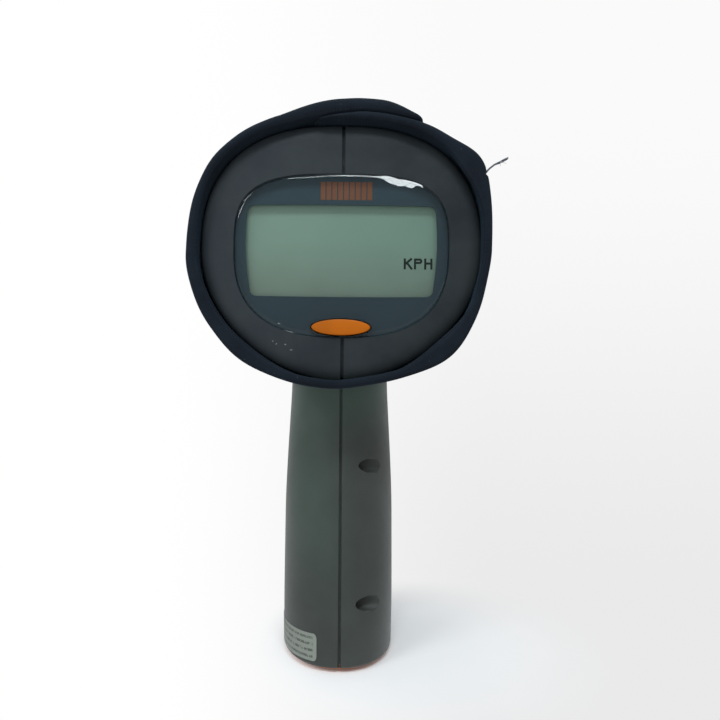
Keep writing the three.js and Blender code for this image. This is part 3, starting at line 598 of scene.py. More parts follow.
def printed_film():
    """Rating sticker: pale film with rows of plain grey bars where small print would be."""
    look = Look("label_film", linear(168, 176, 168), 0.38)
    spot = look.node("TexCoord").outputs["UV"]
    along, up, _ = look.split(spot)
    line = look.ramp(look.math("PINGPONG", up, 1.15), 0.62, 0.72, kind="LINEAR")
    words = look.noise(look.vector("MULTIPLY", spot, (1.1, 0.43, 1)), 1.3, 1.0)
    ink = look.times(line, look.ramp(words, 0.44, 0.48, kind="LINEAR"))
    ink = look.times(ink, look.ramp(along, 30.5, 30.0, kind="LINEAR"))
    ink = look.times(ink, look.ramp(look.math("ABSOLUTE", up), 4.0, 3.8, kind="LINEAR"))
    look.set(Base_Color=look.mix(look.times(ink, 0.7), linear(115, 121, 114), linear(40, 46, 44)))
    return look.material


RIB_PITCH, LOOP_PITCH = 0.9, 0.7


def knitted_fabric():
    """Thin jersey over foam: a fine knit, soft sheen, faint wear and a little lint."""
    look = Look("wrap_fabric", linear(16, 24, 32), 0.9, Specular_IOR_Level=0.12, Sheen_Weight=0.14,
                Sheen_Roughness=0.5, Sheen_Tint=linear(100, 135, 160))
    at = look.position()
    around, across, _ = look.split(look.node("TexCoord").outputs["UV"])
    ribs = look.math("SINE", look.times(around, TAU / RIB_PITCH))
    loops = look.math("SINE", look.math("ADD", look.times(across, TAU / LOOP_PITCH), look.times(ribs, 1.2)))
    knit = look.math("ADD", look.times(ribs, 0.5), look.times(loops, 0.5))
    normal = look.bump(look.noise(at, 0.09, 4.0, 0.55), 0.8, 0.5)
    normal = look.bump(look.noise(at, 2.2, 3.0, 0.7), 0.12, 0.6, normal)
    normal = look.bump(knit, 0.06, 0.6, normal)
    faded = look.ramp(look.noise(at, 0.06, 5.0, 0.6), 0.35, 0.7, 0.0, 0.5)
    color = look.mix(faded, linear(14, 19, 26), linear(23, 30, 39))
    color = look.mix(look.ramp(knit, -0.2, 1.0, 0.0, 0.25), color, linear(36, 44, 53))
    lint = look.ramp(look.noise(at, 1.4, 1.0, 0.4), 0.765, 0.785, 0.0, 0.4)
    look.set(Base_Color=look.mix(lint, color, linear(70, 75, 82)), Normal=normal)
    return look.material


def pile_tape():
    """Closure tape with a coarse dark pile."""
    look = Look("closure_tape", linear(22, 23, 26), 0.95, Specular_IOR_Level=0.1)
    tufts = look.noise(look.position(), 1.2, 2.0, 0.8)
    look.set(
        Base_Color=look.mix(look.ramp(tufts, 0.35, 0.7), linear(14, 15, 17), linear(40, 41, 45)),
        Normal=look.bump(tufts, 0.5),
    )
    return look.material


def circuit_board():
    """Green lacquer over raised copper tracks."""
    look = Look("board", linear(24, 82, 48), 0.4)
    at = {"Vector": look.position(), "Scale": 0.35}
    cells = look.node("TexVoronoi", at, distance="CHEBYCHEV", feature="DISTANCE_TO_EDGE")
    tracks = look.ramp(cells.outputs["Distance"], 0.05, 0.09, 1.0, 0.0)
    look.set(
        Base_Color=look.mix(look.times(tracks, 0.5), linear(22, 76, 44), linear(52, 120, 76)),
        Normal=look.bump(tracks, 0.03, 0.6, look.rounded(0.2)),
    )
    return look.material


def cell_jacket():
    """Printed metal jacket: dark blue with a dull gold band, lightly scuffed."""
    look = Look("cell_jacket", linear(40, 52, 80), 0.3, Metallic=0.4)
    at = look.position()
    band = look.ramp(look.math("PINGPONG", look.split(at)[2], 25.0), 14.0, 14.6, kind="LINEAR")
    scuff = look.ramp(look.noise(at, 0.4, 5.0, 0.7), 0.6, 0.75, 0.0, 0.3)
    color = look.mix(band, linear(38, 50, 78), linear(176, 150, 84))
    look.set(Base_Color=look.mix(scuff, color, linear(150, 150, 150)))
    return look.material


plastic_case = case_plastic()
plastic_black = moulded_plastic("black_plastic", linear(30, 32, 35), 0.48, 0.03)
plastic_orange = moulded_plastic("orange_plastic", linear(190, 100, 30), 0.36, 0.012, 0.5, 0.06, 0.45)
plastic_button = moulded_plastic("button_plastic", linear(154, 80, 2), 0.5, 0.02, 0.3, 0.08, 0.15)
plastic_radome = moulded_plastic("radome_plastic", linear(26, 27, 30), 0.6, 0.04, tint=0.05)
acrylic = clear_acrylic()
print_dark = display_print("mask_print", linear(38, 51, 57))
print_orange = display_print("mark_print", linear(88, 58, 42))
lcd_face = liquid_crystal()
lcd_segment = display_print("lcd_segment", linear(20, 30, 26), 0.6)
label_film = printed_film()
fabric = knitted_fabric()
thread = moulded_plastic("sewing_thread", linear(74, 79, 86), 0.8, 0.05, 0.05, 0.2, 0.2)
steel = metal("steel", linear(188, 190, 192), 0.28)

# Looks of the CAD nodes that stay, by material slot
slot_looks = {
    "black_plastic": plastic_black,
    "orange_plastic": plastic_orange,
    "lcd_glass": lcd_face,
    "board": circuit_board(),
    "steel": steel,
    "cast_aluminium": metal("cast_aluminium", linear(186, 188, 190), 0.42, 0.5),
    "rubber": moulded_plastic("rubber", linear(20, 20, 21), 0.75, 0.03),
    "cell_jacket": cell_jacket(),
    "tape_fabric": pile_tape(),
    "red_lead": moulded_plastic("red_lead", linear(165, 34, 30), 0.45, 0.01),
    "black_lead": moulded_plastic("black_lead", linear(22, 22, 22), 0.45, 0.01),
    "grey_lead": moulded_plastic("grey_lead", linear(140, 143, 146), 0.45, 0.01),
}
for part in frame["record"]["subparts"]:
    look = slot_looks.get(part["material_slot"])
    if look:
        mesh = frame["nodes"][part["node"]].data
        mesh.materials.clear()
        mesh.materials.append(look)


# ---------------- case

HEAD_EDGE = 3.2  # depth of the round between the rear face and the head's side
SCREWS = [(grip_centre(24) - 22.0, 24), (grip_centre(78) - 20.0, 78)]  # y and z of the grip's two
DOOR_RECESS_TOP_Z = 2.55
DOOR_RECESS_FRONT_Y = 19.8


def head_rings(grow, columns, step):
    """Rings of the head, from the middle of its rear face over the rounded edge to its front."""
    angles = head_angles(columns)[::-1]
    inwards = min(grow, 0)
    rings = []
    rim = head_points(REAR_Y, angles, grow - 6)
    for share in np.linspace(0.04, 1, 14):
        x, z = rim[:, 0] * share, BEAM_Z + (rim[:, 2] - BEAM_Z) * share
        rings.append(ring_at(face_y(x, z) - inwards, x, z))
    for turn in np.linspace(0, math.pi / 2, 9)[1:]:
        ring = head_points(REAR_Y, angles, grow - 6 * (1 - math.sin(turn)))
        crown = (face_y(ring[:, 0], ring[:, 2]) - REAR_Y) * math.cos(turn)
        ring[:, 1] = REAR_Y + crown - inwards + (HEAD_EDGE + inwards) * (1 - math.cos(turn))
        rings.append(ring)
    for y in np.arange(REAR_Y + HEAD_EDGE + step, CASE_FRONT_Y - 0.9, step):
        rings.append(head_points(y, angles, grow))
    rings.append(head_points(CASE_FRONT_Y - 0.6, angles, grow))
    rings.append(head_points(CASE_FRONT_Y, angles, grow - 0.5))
    return rings


def grip_rings(grow, columns, step):
    """Rings of the grip from its foot up. The foot's edge is round, but sharp on an inset body."""
    angles = grip_angles(columns)
    edge = GRIP_EDGE if grow == 0 else 0.1
    rings = []
    for turn in np.linspace(0, math.pi / 2, 7):
        z = GRIP_BOTTOM_Z + edge * (1 - math.cos(turn))
        rings.append(grip_points(z, angles, grow - edge * (1 - math.sin(turn))))
    for z in np.arange(GRIP_BOTTOM_Z + edge + step, GRIP_TOP_Z + 0.1, step):
        rings.append(grip_points(z, angles, grow))
    return rings


def case_body(name, grow, columns, step):
    head = skin(name, head_rings(grow, columns[0], step))
    return carve(head, "UNION", skin(name + "_grip", grip_rings(grow, columns[1], step)))


def cavity():
    """The room inside the case, open at the front and the foot, with posts for the grip's screws."""
    around = head_angles(96)
    head = [head_points(y, around, -WALL) for y in np.linspace(REAR_Y + 4, CASE_FRONT_Y, 14)]
    head.append(head[-1] + (0, 2, 0))
    around = grip_angles(72)
    grip = [grip_points(z, around, -WALL) for z in np.linspace(GRIP_BOTTOM_Z, GRIP_TOP_Z, 14)]
    grip.insert(0, grip[0] - (0, 0, 2))
    hollow = carve(skin("cavity", head), "UNION", skin("cavity_grip", grip))
    return carve(hollow, "DIFFERENCE", *(rod("post", 4.6, -60, 60, screw, 40) for screw in SCREWS))


def door_outline(angles, inset, z, front_inset=None):
    """Outline of the battery door or its recess. The door's larger inset in front lets it swing clear."""
    ring = grip_points(GRIP_BOTTOM_Z, angles, -inset)
    if front_inset is not None:
        front_reach = GRIP[0, 2]
        ring[ring[:, 1] > 0, 1] *= (front_reach - front_inset) / (front_reach - inset)
    ring[:, 2] = z
    return ring


def case_cutters():
    """Openings in the case: window, display, button, trigger, door recess and room for the door's barrel."""
    around = grip_angles(120, 0.0)
    recess = skin("door_recess", [door_outline(around, 1.3, z) for z in (-1, DOOR_RECESS_TOP_Z)])
    return [
        prism("pocket", window_outline(window_angles(160), 0.12), REAR_Y - 4, REAR_Y + 2.5),
        box("display_hole", (-38, REAR_Y, LCD_Z - 19), (38, REAR_Y + 8, LCD_Z + 19)),
        prism("button_hole", button_outline(0.45, 0.25), REAR_Y - 1, REAR_Y + 8),
        prism("trigger_slot", rounded_quad(6.9, 6.9, 16.25, 90.25, 2.5, 8), 33, 62),
        carve(recess, "INTERSECT", box("rear", (-40, -40, -2), (40, DOOR_RECESS_FRONT_Y, 5))),
        rod("barrel_room", 2.6, -9.2, 9.2, DOOR_PIN),
        box("barrel_way", (-9.2, 17, -1), (9.2, 24.9, 2.3)),
    ]


def half_space(side, gap):
    """Everything on one side of the seam, from a gap outwards."""
    near, far = sorted((SEAM_X + side * gap, side * 90))
    return box("slab", (near, -90, -20), (far, 130, 260))


def build_case():
    """Both halves: the outer shell stops short of the seam, and an inset tongue closes the groove's floor."""
    outer = case_body("case", 0.0, (220, 150), 2.0)
    inset = case_body("inset", -GROOVE_DEPTH, (160, 110), 4.0)
    hollow = cavity()
    screw_recess = [(3.4, 2.85), (5.7, 2.85), (6.2, 3.0), (8, 3.15), (60, 3.25)]
    for side, name in ((-1, "case_left"), (1, "case_right")):
        half = carve(copy_of(outer), "INTERSECT", half_space(side, GROOVE))
        tongue = carve(copy_of(inset), "INTERSECT", half_space(side, 0.04))
        carve(half, "UNION", tongue)
        carve(half, "DIFFERENCE", copy_of(hollow), *case_cutters())
        if side > 0:
            carve(half, "DIFFERENCE", *(turned("recess", screw_recess, "X", screw, 48) for screw in SCREWS))
        half.name = name
        place(smooth(half, 30), plastic_case, "case", "case_grey", name)
    for spare in (outer, inset, hollow):
        bpy.data.objects.remove(spare)


# ---------------- display

MASK_FRONT_Y = REAR_Y + 2.02
MASK_BACK_Y = REAR_Y + 2.42
RIM = 1.6  # width of the window's rounded rim
WIDE_RIM = 3.4  # and where it flattens out at the top right
WINDOW_RISE = 0.72  # how far the window stands out of the face


def scaled(outline, centre_z, scale):
    x, z = outline
    return x * scale, centre_z + (z - centre_z) * scale


def ring_on(surface, outline):
    """A ring on a surface, which gives the depth at x and z."""
    return ring_at(surface(*outline), *outline)


def window_y(x, z):
    return face_y(x, z) - WINDOW_RISE


def rim_y(inwards, x, z):
    """Depth of the window's front at a distance in from its outline: round, but flatter at the top right."""
    top = smoothstep(z, WINDOW_Z + 14, WINDOW_Z + 21)
    flatter = np.exp(-((x - 23) / 8.0) ** 2) * top
    wavy = 1 + 0.10 * np.sin(0.42 * x + 0.6) + 0.07 * np.sin(1.13 * x + 2.0)
    width = (RIM + (WIDE_RIM - RIM) * flatter) * wavy
    share = np.clip(1 - inwards / width, 0, 1)
    round_drop = 0.9 - 0.45 * smoothstep(x, -12, -2) * top
    drop = (1 - flatter) * round_drop * share ** 2 + flatter * 0.35 * width * share
    return window_y(x, z) + drop


def build_window():
    angles = window_angles(200)
    middle = window_outline(angles, -WIDE_RIM - 0.8)
    rings = [ring_on(window_y, scaled(middle, WINDOW_Z, share)) for share in np.linspace(0.03, 1, 16)]
    for inwards in np.linspace(4.0, 0, 27):
        x, z = window_outline(angles, -inwards)
        rings.append(ring_at(rim_y(inwards, x, z), x, z))
    rings.append(ring_at(REAR_Y + 1.9, *window_outline(angles)))
    glass = skin("display_window", rings)
    carve(glass, "DIFFERENCE", prism("hole", button_outline(0.45, 0.4), REAR_Y - 6, REAR_Y + 4))
    place(smooth(glass, 50), acrylic, "case", "clear_plastic", "display_window")


def build_mask():
    """The ink behind the window and up its edge, open at the display and the button, and nine plain bars."""
    angles = window_angles(200)
    mask = prism("window_mask", window_outline(angles, 0.08), MASK_FRONT_Y, MASK_BACK_Y)
    opening = rounded_quad(36.7, 35.7, 17.6, LCD_Z, 2.8, 7, 0.9, 0.25)
    for hole in (opening, button_outline(0.45, 0.4)):
        carve(mask, "DIFFERENCE", prism("hole", hole, MASK_FRONT_Y - 1, MASK_BACK_Y + 1))
    lip = ((0.02, REAR_Y + 0.1), (0.09, REAR_Y + 0.1), (0.09, MASK_BACK_Y), (0.02, MASK_BACK_Y))
    edge = skin("edge", [ring_at(y, *window_outline(angles, grow)) for grow, y in lip], looped=True)
    place(join("window_mask", [mask, edge]), print_dark, "case", "mask_print", "window_mask")
    bars = []
    for i in range(9):
        left = -8.2 + 20.4 * i / 9
        bars.append(box("bar", (left, MASK_FRONT_Y - 0.06, 184.6), (left + 1.85, MASK_FRONT_Y - 0.02, 191.6)))
    place(join("window_mark", bars), print_orange, "case", "mask_print")


def stroke(points, width, y):
    """A flat bar with mitred corners along a line of x, z points."""
    line = np.array(points, float)
    ahead = np.diff(line, axis=0)
    ahead /= np.linalg.norm(ahead, axis=1, keepdims=True)
    sideways = np.stack([-ahead[:, 1], ahead[:, 0]], -1)
    before, after = np.vstack([sideways[:1], sideways]), np.vstack([sideways, sideways[-1:]])
    mitre = (before + after) / (1 + np.sum(before * after, axis=1, keepdims=True))
    x, z = np.vstack([line + mitre * width / 2, line - mitre * width / 2]).T
    count = len(line)
    faces = [(i, i + 1, count + i + 1, count + i) for i in range(count - 1)]
    return make_mesh("stroke", ring_at(y, x, z), faces)


def build_lcd_unit():
    """The unit KPH in the display's fixed segments, at its lower right. Each letter is a list of lines."""
    low, high, width, heavy = 158.3, 162.6, 2.75, 0.84
    left, pitch = 24.9, 4.0
    front_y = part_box("lcd_panel")[0][1] / MM - 0.05
    middle = (low + high) / 2 + 0.1
    bowl_z = (high + middle) / 2 - 0.05
    bowl = high - heavy / 2 - bowl_z
    bowl_x = width - bowl - 0.3
    bend = [(bowl_x + bowl * math.sin(t), bowl_z + bowl * math.cos(t)) for t in np.linspace(0, math.pi, 7)]
    stem = [(0, low), (0, high)]
    right = width - 0.35
    letters = [
        [stem, [(width, high), (0.3, middle - 0.1)], [(0.85, middle + 0.35), (width + 0.1, low)]],
        [stem, [(0, bowl_z + bowl)] + bend + [(0, bowl_z - bowl)]],
        [stem, [(right, low), (right, high)], [(0, middle + 0.1), (right, middle + 0.1)]],
    ]
    strokes = []
    for i, letter in enumerate(letters):
        for line in letter:
            points = [(left + pitch * i + x, z) for x, z in line]
            strokes.append(stroke(points, heavy, front_y - 0.002 * len(strokes)))
    place(join("lcd_unit", strokes), lcd_segment, "case", "lcd_glass")


def button_y(x, z):
    """Depth of the button's domed top."""
    reach = np.clip((x / BUTTON_HALF[0]) ** 2 + ((z - BUTTON_Z) / BUTTON_HALF[1]) ** 2, 0, 1)
    return -33.0 - 0.55 * np.sqrt(1 - 0.97 * reach)


def build_button():
    outline = button_outline(count=96)
    rings = [ring_on(button_y, scaled(outline, BUTTON_Z, share)) for share in np.linspace(0.04, 0.97, 14)]
    for scale, y in ((0.995, -32.75), (1, -32.3), (1, -26.7)):
        rings.append(ring_at(y, *scaled(outline, BUTTON_Z, scale)))
    button = skin("mode_button", rings)
    place(smooth(button, 50), plastic_button, "mode_button", "orange_plastic", "mode_button")


# ---------------- front, trigger, battery door, label


def build_front():
    """The front ring, with two grooves round it, and the slightly domed radome inside it."""
    profile = [(71, 41.4), (71, 43.6), (80.3, 43.6), (80.3, 46.6), (80.7, 47.2), (82.4, 48.4), (83.4, 48.7)]
    for groove in (92, 100):
        walls = [(-1.3, 48.7), (-1.0, 48.5), (-0.7, 47.9), (0.7, 47.9), (1.0, 48.5), (1.3, 48.7)]
        profile += [(groove + along, radius) for along, radius in walls]
    profile += [(116.5, 48.7), (118.4, 48.4), (119.6, 47.8), (120, 47.1), (120, 46.3), (119.8, 45.95)]
    profile += [(115, 45.9), (115, 43.4), (112, 43.4), (108, 46), (84, 46), (79.6, 41.4)]
    ring = turned("front_ring", profile, "Y", (0, BEAM_Z), 160, looped=True)
    place(smooth(ring), plastic_black, "case", "black_plastic", "front_ring")
    dome = [(116, 45.4), (117, 45.5)]
    dome += [(119.65 - 2.5 * (radius / 45.5) ** 2, radius) for radius in np.linspace(45, 0.5, 24)]
    radome = turned("radome", dome, "Y", (0, BEAM_Z), 160)
    place(smooth(radome), plastic_radome, "case", "black_plastic", "radome")


def bezier(points, count):
    """Points on a chain of cubic curves, given as start, then three points for each curve."""
    out = []
    for k in range(0, len(points) - 1, 3):
        a, b, c, d = (np.array(points[k + i], float) for i in range(4))
        for t in np.linspace(0, 1, count, endpoint=False):
            out.append((1 - t) ** 3 * a + 3 * (1 - t) ** 2 * t * b + 3 * (1 - t) * t ** 2 * c + t ** 3 * d)
    return np.array(out)


def inset_outline(points, amount):
    """A closed outline moved inwards by an amount."""
    ahead, behind = np.roll(points, -1, 0), np.roll(points, 1, 0)
    along = ahead - behind
    along /= np.linalg.norm(along, axis=1, keepdims=True)
    area = np.sum(points[:, 0] * ahead[:, 1] - ahead[:, 0] * points[:, 1])
    inward = np.stack([-along[:, 1], along[:, 0]], -1) * math.copysign(1, area)
    return points + inward * amount


def resample(points, count):
    """A closed outline with its points evenly spaced."""
    closed = np.vstack([points, points[:1]])
    length = np.concatenate([[0], np.cumsum(np.linalg.norm(np.diff(closed, axis=0), axis=1))])
    places = np.linspace(0, length[-1], count, endpoint=False)
    return np.stack([np.interp(places, length, closed[:, k]) for k in range(2)], -1)


def build_trigger():
    """A lever with a hollow for the finger, its sides rounded. The outline is in y and z."""
    half_width, edge = 6.5, 1.8
    outline = bezier([
        (36.1, 92), (36.1, 87), (36.1, 82), (36.2, 78),
        (36.2, 76.9), (36.9, 76.4), (38, 76.4), (42, 76.4), (45, 76.2), (48, 76.2),
        (50.0, 76.2), (50.9, 77.6), (50.2, 79.2),
        (46.4, 86), (46.2, 94), (49.4, 101.6),
        (50.1, 103.6), (49, 104.8), (47, 104.9), (45, 105), (43, 105.1), (41, 105.2),
        (39.2, 105.4), (38.8, 106.5), (38.7, 108), (38.7, 110), (38.7, 112), (38.7, 114),
        (38.7, 115.8), (37.3, 117.2), (35.5, 117.2), (33.7, 117.2), (32.3, 115.8), (32.3, 114),
        (32.3, 110), (32.6, 107), (33.4, 104), (34.4, 102), (36.1, 97), (36.1, 92),
    ], 14)
    outline = resample(outline, 180)
    side = np.linspace(4.7, half_width, 8)
    rings = []
    for x in np.concatenate([-side[::-1], np.linspace(-4, 4, 7), side]):
        y, z = inset_outline(outline, min(corner_inset(half_width - abs(x), edge), 1.6)).T
        rings.append(np.stack([x + 0 * y, y, z], -1))
    place(smooth(skin("trigger", rings)), plastic_black, "trigger", "black_plastic", "trigger")


def build_trigger_spring():
    """The coil behind the trigger, drawn at one length: it is not made to shorten as the trigger is pulled
    back against it.
    """
    low, high = (np.array(corner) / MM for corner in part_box("trigger_spring"))
    middle = (low + high) / 2
    wire, coils = 0.3, 4
    radius = (high[0] - low[0]) / 2 - wire
    angle = np.linspace(0, coils * TAU, 32 * coils)
    along = np.linspace(low[1] + wire, high[1] - wire, len(angle))
    path = ring_at(along, middle[0] + radius * np.cos(angle), middle[2] + radius * np.sin(angle))
    coil = tube("trigger_coil", path, np.full(len(path), wire), 8)
    place(smooth(coil, 32), steel, "case", "steel", "trigger_spring")
    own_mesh(coil)


def build_door():
    """The battery door: a plate with a round edge, its hinge barrel, latch and four grip ridges."""
    pin_y, _ = DOOR_PIN
    angles = grip_angles(160, 0.0)
    edge = ((0, 3.4), (0.2, 2.6), (0.6, 1.95), (1.1, 1.55), (1.5, 1.45), (2.4, 1.45))
    door = skin("battery_door", [door_outline(angles, inset, z, inset + 1.2) for z, inset in edge])
    carve(door, "INTERSECT", box("cut", (-40, -40, -2), (40, pin_y - 2.8, 6)))
    barrel = turned("barrel", [(-9, 1.9), (-8.8, 2.1), (8.8, 2.1), (9, 1.9)], "X", DOOR_PIN, 40)
    carve(door, "UNION", barrel, box("web", (-9, pin_y - 4, 0.2), (9, pin_y, 2.4)))
    carve(door, "DIFFERENCE", rod("bore", 1.12, -10, 10, DOOR_PIN))
    latch = box("latch", (-5, -23.0, 1), (5, -21.6, 7.9))
    carve(door, "UNION", latch, box("hook", (-5, -23.9, 6.6), (5, -22.9, 7.6)))
    for i in range(4):
        reach = 7 - 0.6 * i
        carve(door, "DIFFERENCE", rod("ridge", 0.5, -reach, reach, (-19.5 + 2.2 * i, 0), 16))
    place(smooth(door, 35), plastic_orange, "battery_door", "orange_plastic", "battery_door")


def build_label():
    """A thin film round the grip's left side, its corners round, lower at its left end."""
    length, half_height, corner = 32.0, 5.0, 1.6
    share = np.linspace(-1, 1, 24)
    rings, flat = [], []
    for angle, along in zip(np.radians(np.linspace(-186, -110, 90)), np.linspace(0, length, 90)):
        half = half_height - corner_inset(min(along, length - along), corner)
        z = 8.4 - 1.2 * (1 - along / length) + half * share
        rings.append(np.vstack([grip_points(z, angle, 0.2), grip_points(z, angle, 0.02)[::-1]]))
        up = np.concatenate([share, share[::-1]]) * half
        flat.append(np.stack([along + 0 * up, up], -1))
    label = skin("grip_label", rings)
    map_flat(label, flat)
    place(smooth(label), label_film, "case", "label_film", "grip_label")


# ---------------- wrap

WRAP_REAR, WRAP_FRONT = -35.4, 60.0
WRAP_MIDDLE = (WRAP_REAR + WRAP_FRONT) / 2
UNDER = 0.5  # height of the wrap's inner face over the case
THICKNESS = 2.9
SLEEVE_START, FLAP_END = 97.5, 63.6  # degrees
FOLD_X = -23.0
THREAD_ANGLE = math.radians(27.6)
STITCH_PITCH, STITCH_LENGTH = 1.6, 1.1  # degrees

# Where the wrap stands off the case at its open rear end, or pulls in: angle, spread, both in degrees, height
LOOSE = {
    "upper right corner": (34, 13, 3.3),
    "right side, pulled in": (-9, 14, -1.4),
    "lower right corner": (-45, 15, 3.1),
    "above the grip, pulled in": (-82, 20, -1.0),
    "lower left corner": (-130, 16, 2.0),
    "lower left side": (-155, 16, 1.4),
    "left side": (-178, 18, 0.7),
    "at the flap's fold": (108, 9, 0.6),
}


def bell(angle, centre, width):
    """A smooth bump of height 1 in the angle. Its centre and width are in degrees."""
    off = (np.degrees(angle) - centre + 180) % 360 - 180
    return np.exp(-(off / width) ** 2)


def slack(angle, y):
    """How far the wrap stands off the case: most at its open rear end, with a nick at the loose threads."""
    loose = sum(height * bell(angle, centre, spread) for centre, spread, height in LOOSE.values())
    loose = loose - 0.7 * bell(angle, math.degrees(THREAD_ANGLE), 0.9) * smoothstep(y, -24, -34)
    wave = 0.10 * np.sin(9 * angle + 2.4 - 0.06 * y) + 0.07 * np.sin(17 * angle + 1.1 + 0.13 * y)
    wave += 0.12 * np.sin(0.11 * y + 3 * angle) * smoothstep(y, -34, -10)
    ease = 1 - 0.5 * smoothstep(y, -20, 50)
    return np.maximum(loose * ease, -0.9 - 0.9 * smoothstep(-y, 28, 34)) + wave


def fold_angle(y):
    """Angle of the flap's fold line, which runs straight along the head."""
    _, half_width, _, _, squareness, _ = section(HEAD, np.maximum(y, REAR_Y))
    return np.arccos(-((-FOLD_X / (half_width + 3.4)) ** (squareness / 2)))


def strip_profile():
    """A loop round the thickness of the wrap with round rims: y, and side from 1 outside to -1 inside."""
    radius = 1.7
    rear, front = WRAP_REAR + radius, WRAP_FRONT - radius
    turn = np.linspace(math.pi / 2, -math.pi / 2, 11)[1:-1]
    over, back = np.linspace(rear, front, 70), np.linspace(front, rear, 40)
    y = np.concatenate([over, front + radius * np.cos(turn), back, rear - radius * np.cos(turn)])
    side = np.concatenate([np.ones(70), np.sin(turn), -np.ones(40), -np.sin(turn)])
    return y, side


def binding(y):
    """1 on the bound borders, 0 between them."""
    rim = np.minimum(y - WRAP_REAR, WRAP_FRONT - y)
    return 1 - smoothstep(rim, 6.2, 7.2)


def sleeve_levels(degrees):
    """Inner and outer height of the sleeve over the case: its first end is pressed thin under the flap."""
    return UNDER, UNDER + THICKNESS * (0.08 + 0.92 * smoothstep((SLEEVE_START - degrees) % 360, 0, 13))


def flap_levels(share, degrees):
    """Inner and outer height of the flap: it climbs over the sleeve's end and thins towards its tip."""
    outer = 3.4 + 5.0 * smoothstep(share, -0.03, 0.50) - 3.2 * smoothstep(share, 0.62, 1.03)
    under = sleeve_levels(np.minimum(degrees, SLEEVE_START))[1]
    inner = UNDER + (under + 0.02) * smoothstep(share, 0.04, 0.2)
    return np.minimum(inner, outer - 0.9), outer


def strip_shares(count, length, free_end):
    """Shares along a strip, closer together at its free end, which is at 0 or 1."""
    tip = [0, 0.1, 0.3, 0.6, 1.0, 1.4, 2.0, 3.0]
    shares = [distance / length for distance in tip]
    shares += [share for share in np.linspace(0, 1, count) if share * length > 3.8]
    return [1 - share for share in reversed(shares)] if free_end else shares


def wrap_strip(name, start_of, end_of, levels, count, length, free_end):
    """A padded strip round the head, between two angles that depend on y.

    levels gives its inner and outer height. At its free end it has round corners and a round edge.
    """
    y, side = strip_profile()
    rings, flat = [], []
    for share in strip_shares(count, length, free_end):
        distance = abs(share - free_end) * length
        narrower = 1 - corner_inset(distance, 5) / (WRAP_FRONT - WRAP_MIDDLE)
        place_y = WRAP_MIDDLE + (y - WRAP_MIDDLE) * narrower
        angle = start_of(place_y) + (end_of(place_y) - start_of(place_y)) * share
        inner, outer = levels(share, np.degrees(angle))
        loose = slack(angle, place_y)
        curl = np.maximum(loose, 0) * (0.62 + 0.8 * smoothstep(-place_y, 30.5, 33.5))
        inner = inner - curl * (side < 0)
        edge = math.sqrt(max(1 - max(1 - distance / 1.6, 0) ** 2, 0.0004))
        half = ((outer - inner) / 2 + 0.22 * binding(y)) * edge
        ring = head_points(np.maximum(place_y, REAR_Y), angle, (inner + outer) / 2 + side * half + loose)
        ring[:, 1] = place_y + 0.35 * np.sin(4 * angle + 1.0) + 0.2 * np.sin(11 * angle)
        rings.append(ring)
        flat.append(np.stack([share * length + 0 * y, y], -1))
    strip = skin(name, rings)
    map_flat(strip, flat)
    return strip


def build_wrap():
    """The sleeve, cut out round the grip, and the flap that closes over the sleeve's first end."""
    sleeve = wrap_strip("wrap_sleeve", lambda y: math.radians(SLEEVE_START), lambda y: fold_angle(y) - TAU,
                        lambda share, degrees: sleeve_levels(degrees), 280, 340, free_end=0)
    grip = [grip_points(z, turns(96), 1.1) for z in np.linspace(96, GRIP_TOP_Z, 12)]
    carve(sleeve, "DIFFERENCE", skin("grip_hole", grip))
    place(smooth(sleeve, 60), fabric, "case", "wrap_fabric", "wrap_sleeve")
    flap = wrap_strip("wrap_flap", fold_angle, lambda y: math.radians(FLAP_END),
                      flap_levels, 70, 56, free_end=1)
    place(smooth(flap, 60), fabric, "wrap_flap", "wrap_fabric", "wrap_flap")


def build_threads():
    """Loose ends of sewing thread that stick out of the wrap's rim on the right, and some fuzz."""
    rng = np.random.default_rng(4)
    root = head_points(REAR_Y, THREAD_ANGLE, 3.2 + slack(THREAD_ANGLE, -34.0))
    root[1] = -33.8
    bends = np.array([(-1.2, 0, -1.6), (0.2, 0, 0.3), (1.4, -0.2, 1.9), (3.5, -0.3, 3.6), (6.2, 0, 4.9),
                      (9.6, 0.2, 7.0)])
    outwards = np.array([0.84, 0, 0.5])
    strands = []
    for i in range(8):
        t = np.linspace(0, rng.uniform(0.72, 1.0) if i else 1.0, 24)
        path = np.stack([np.interp(t, np.linspace(0, 1, len(bends)), bends[:, k]) for k in range(3)], -1)
        path = ((path + np.roll(path, 1, 0) + np.roll(path, -1, 0)) / 3)[1:-1]
        t = t[1:-1, None]
        phase = rng.uniform(0, TAU)
        spread = 0.14 + 0.22 * t ** 2 * rng.uniform(0.3, 1)
        curl = np.concatenate([np.sin(7 * t + phase), np.cos(11 * t + phase), np.cos(8 * t + phase)], 1)
        strands.append(tube("strand", root + path + spread * curl, np.linspace(0.2, 0.12, len(t)), 5))
    t = np.linspace(0, 1, 6)[:, None]
    for _ in range(6):
        base = root + bends[4] + rng.uniform(-1.2, 1.6) * outwards + rng.normal(0, 0.15, 3)
        way = outwards + rng.normal(0, 0.6, 3)
        line = base + 0.9 * (t * way + 0.3 * t * t * rng.normal(0, 1, 3))
        strands.append(tube("fuzz", line, np.full(len(t), 0.05), 4))
    place(join("wrap_threads", strands), thread, "case", "wrap_fabric")


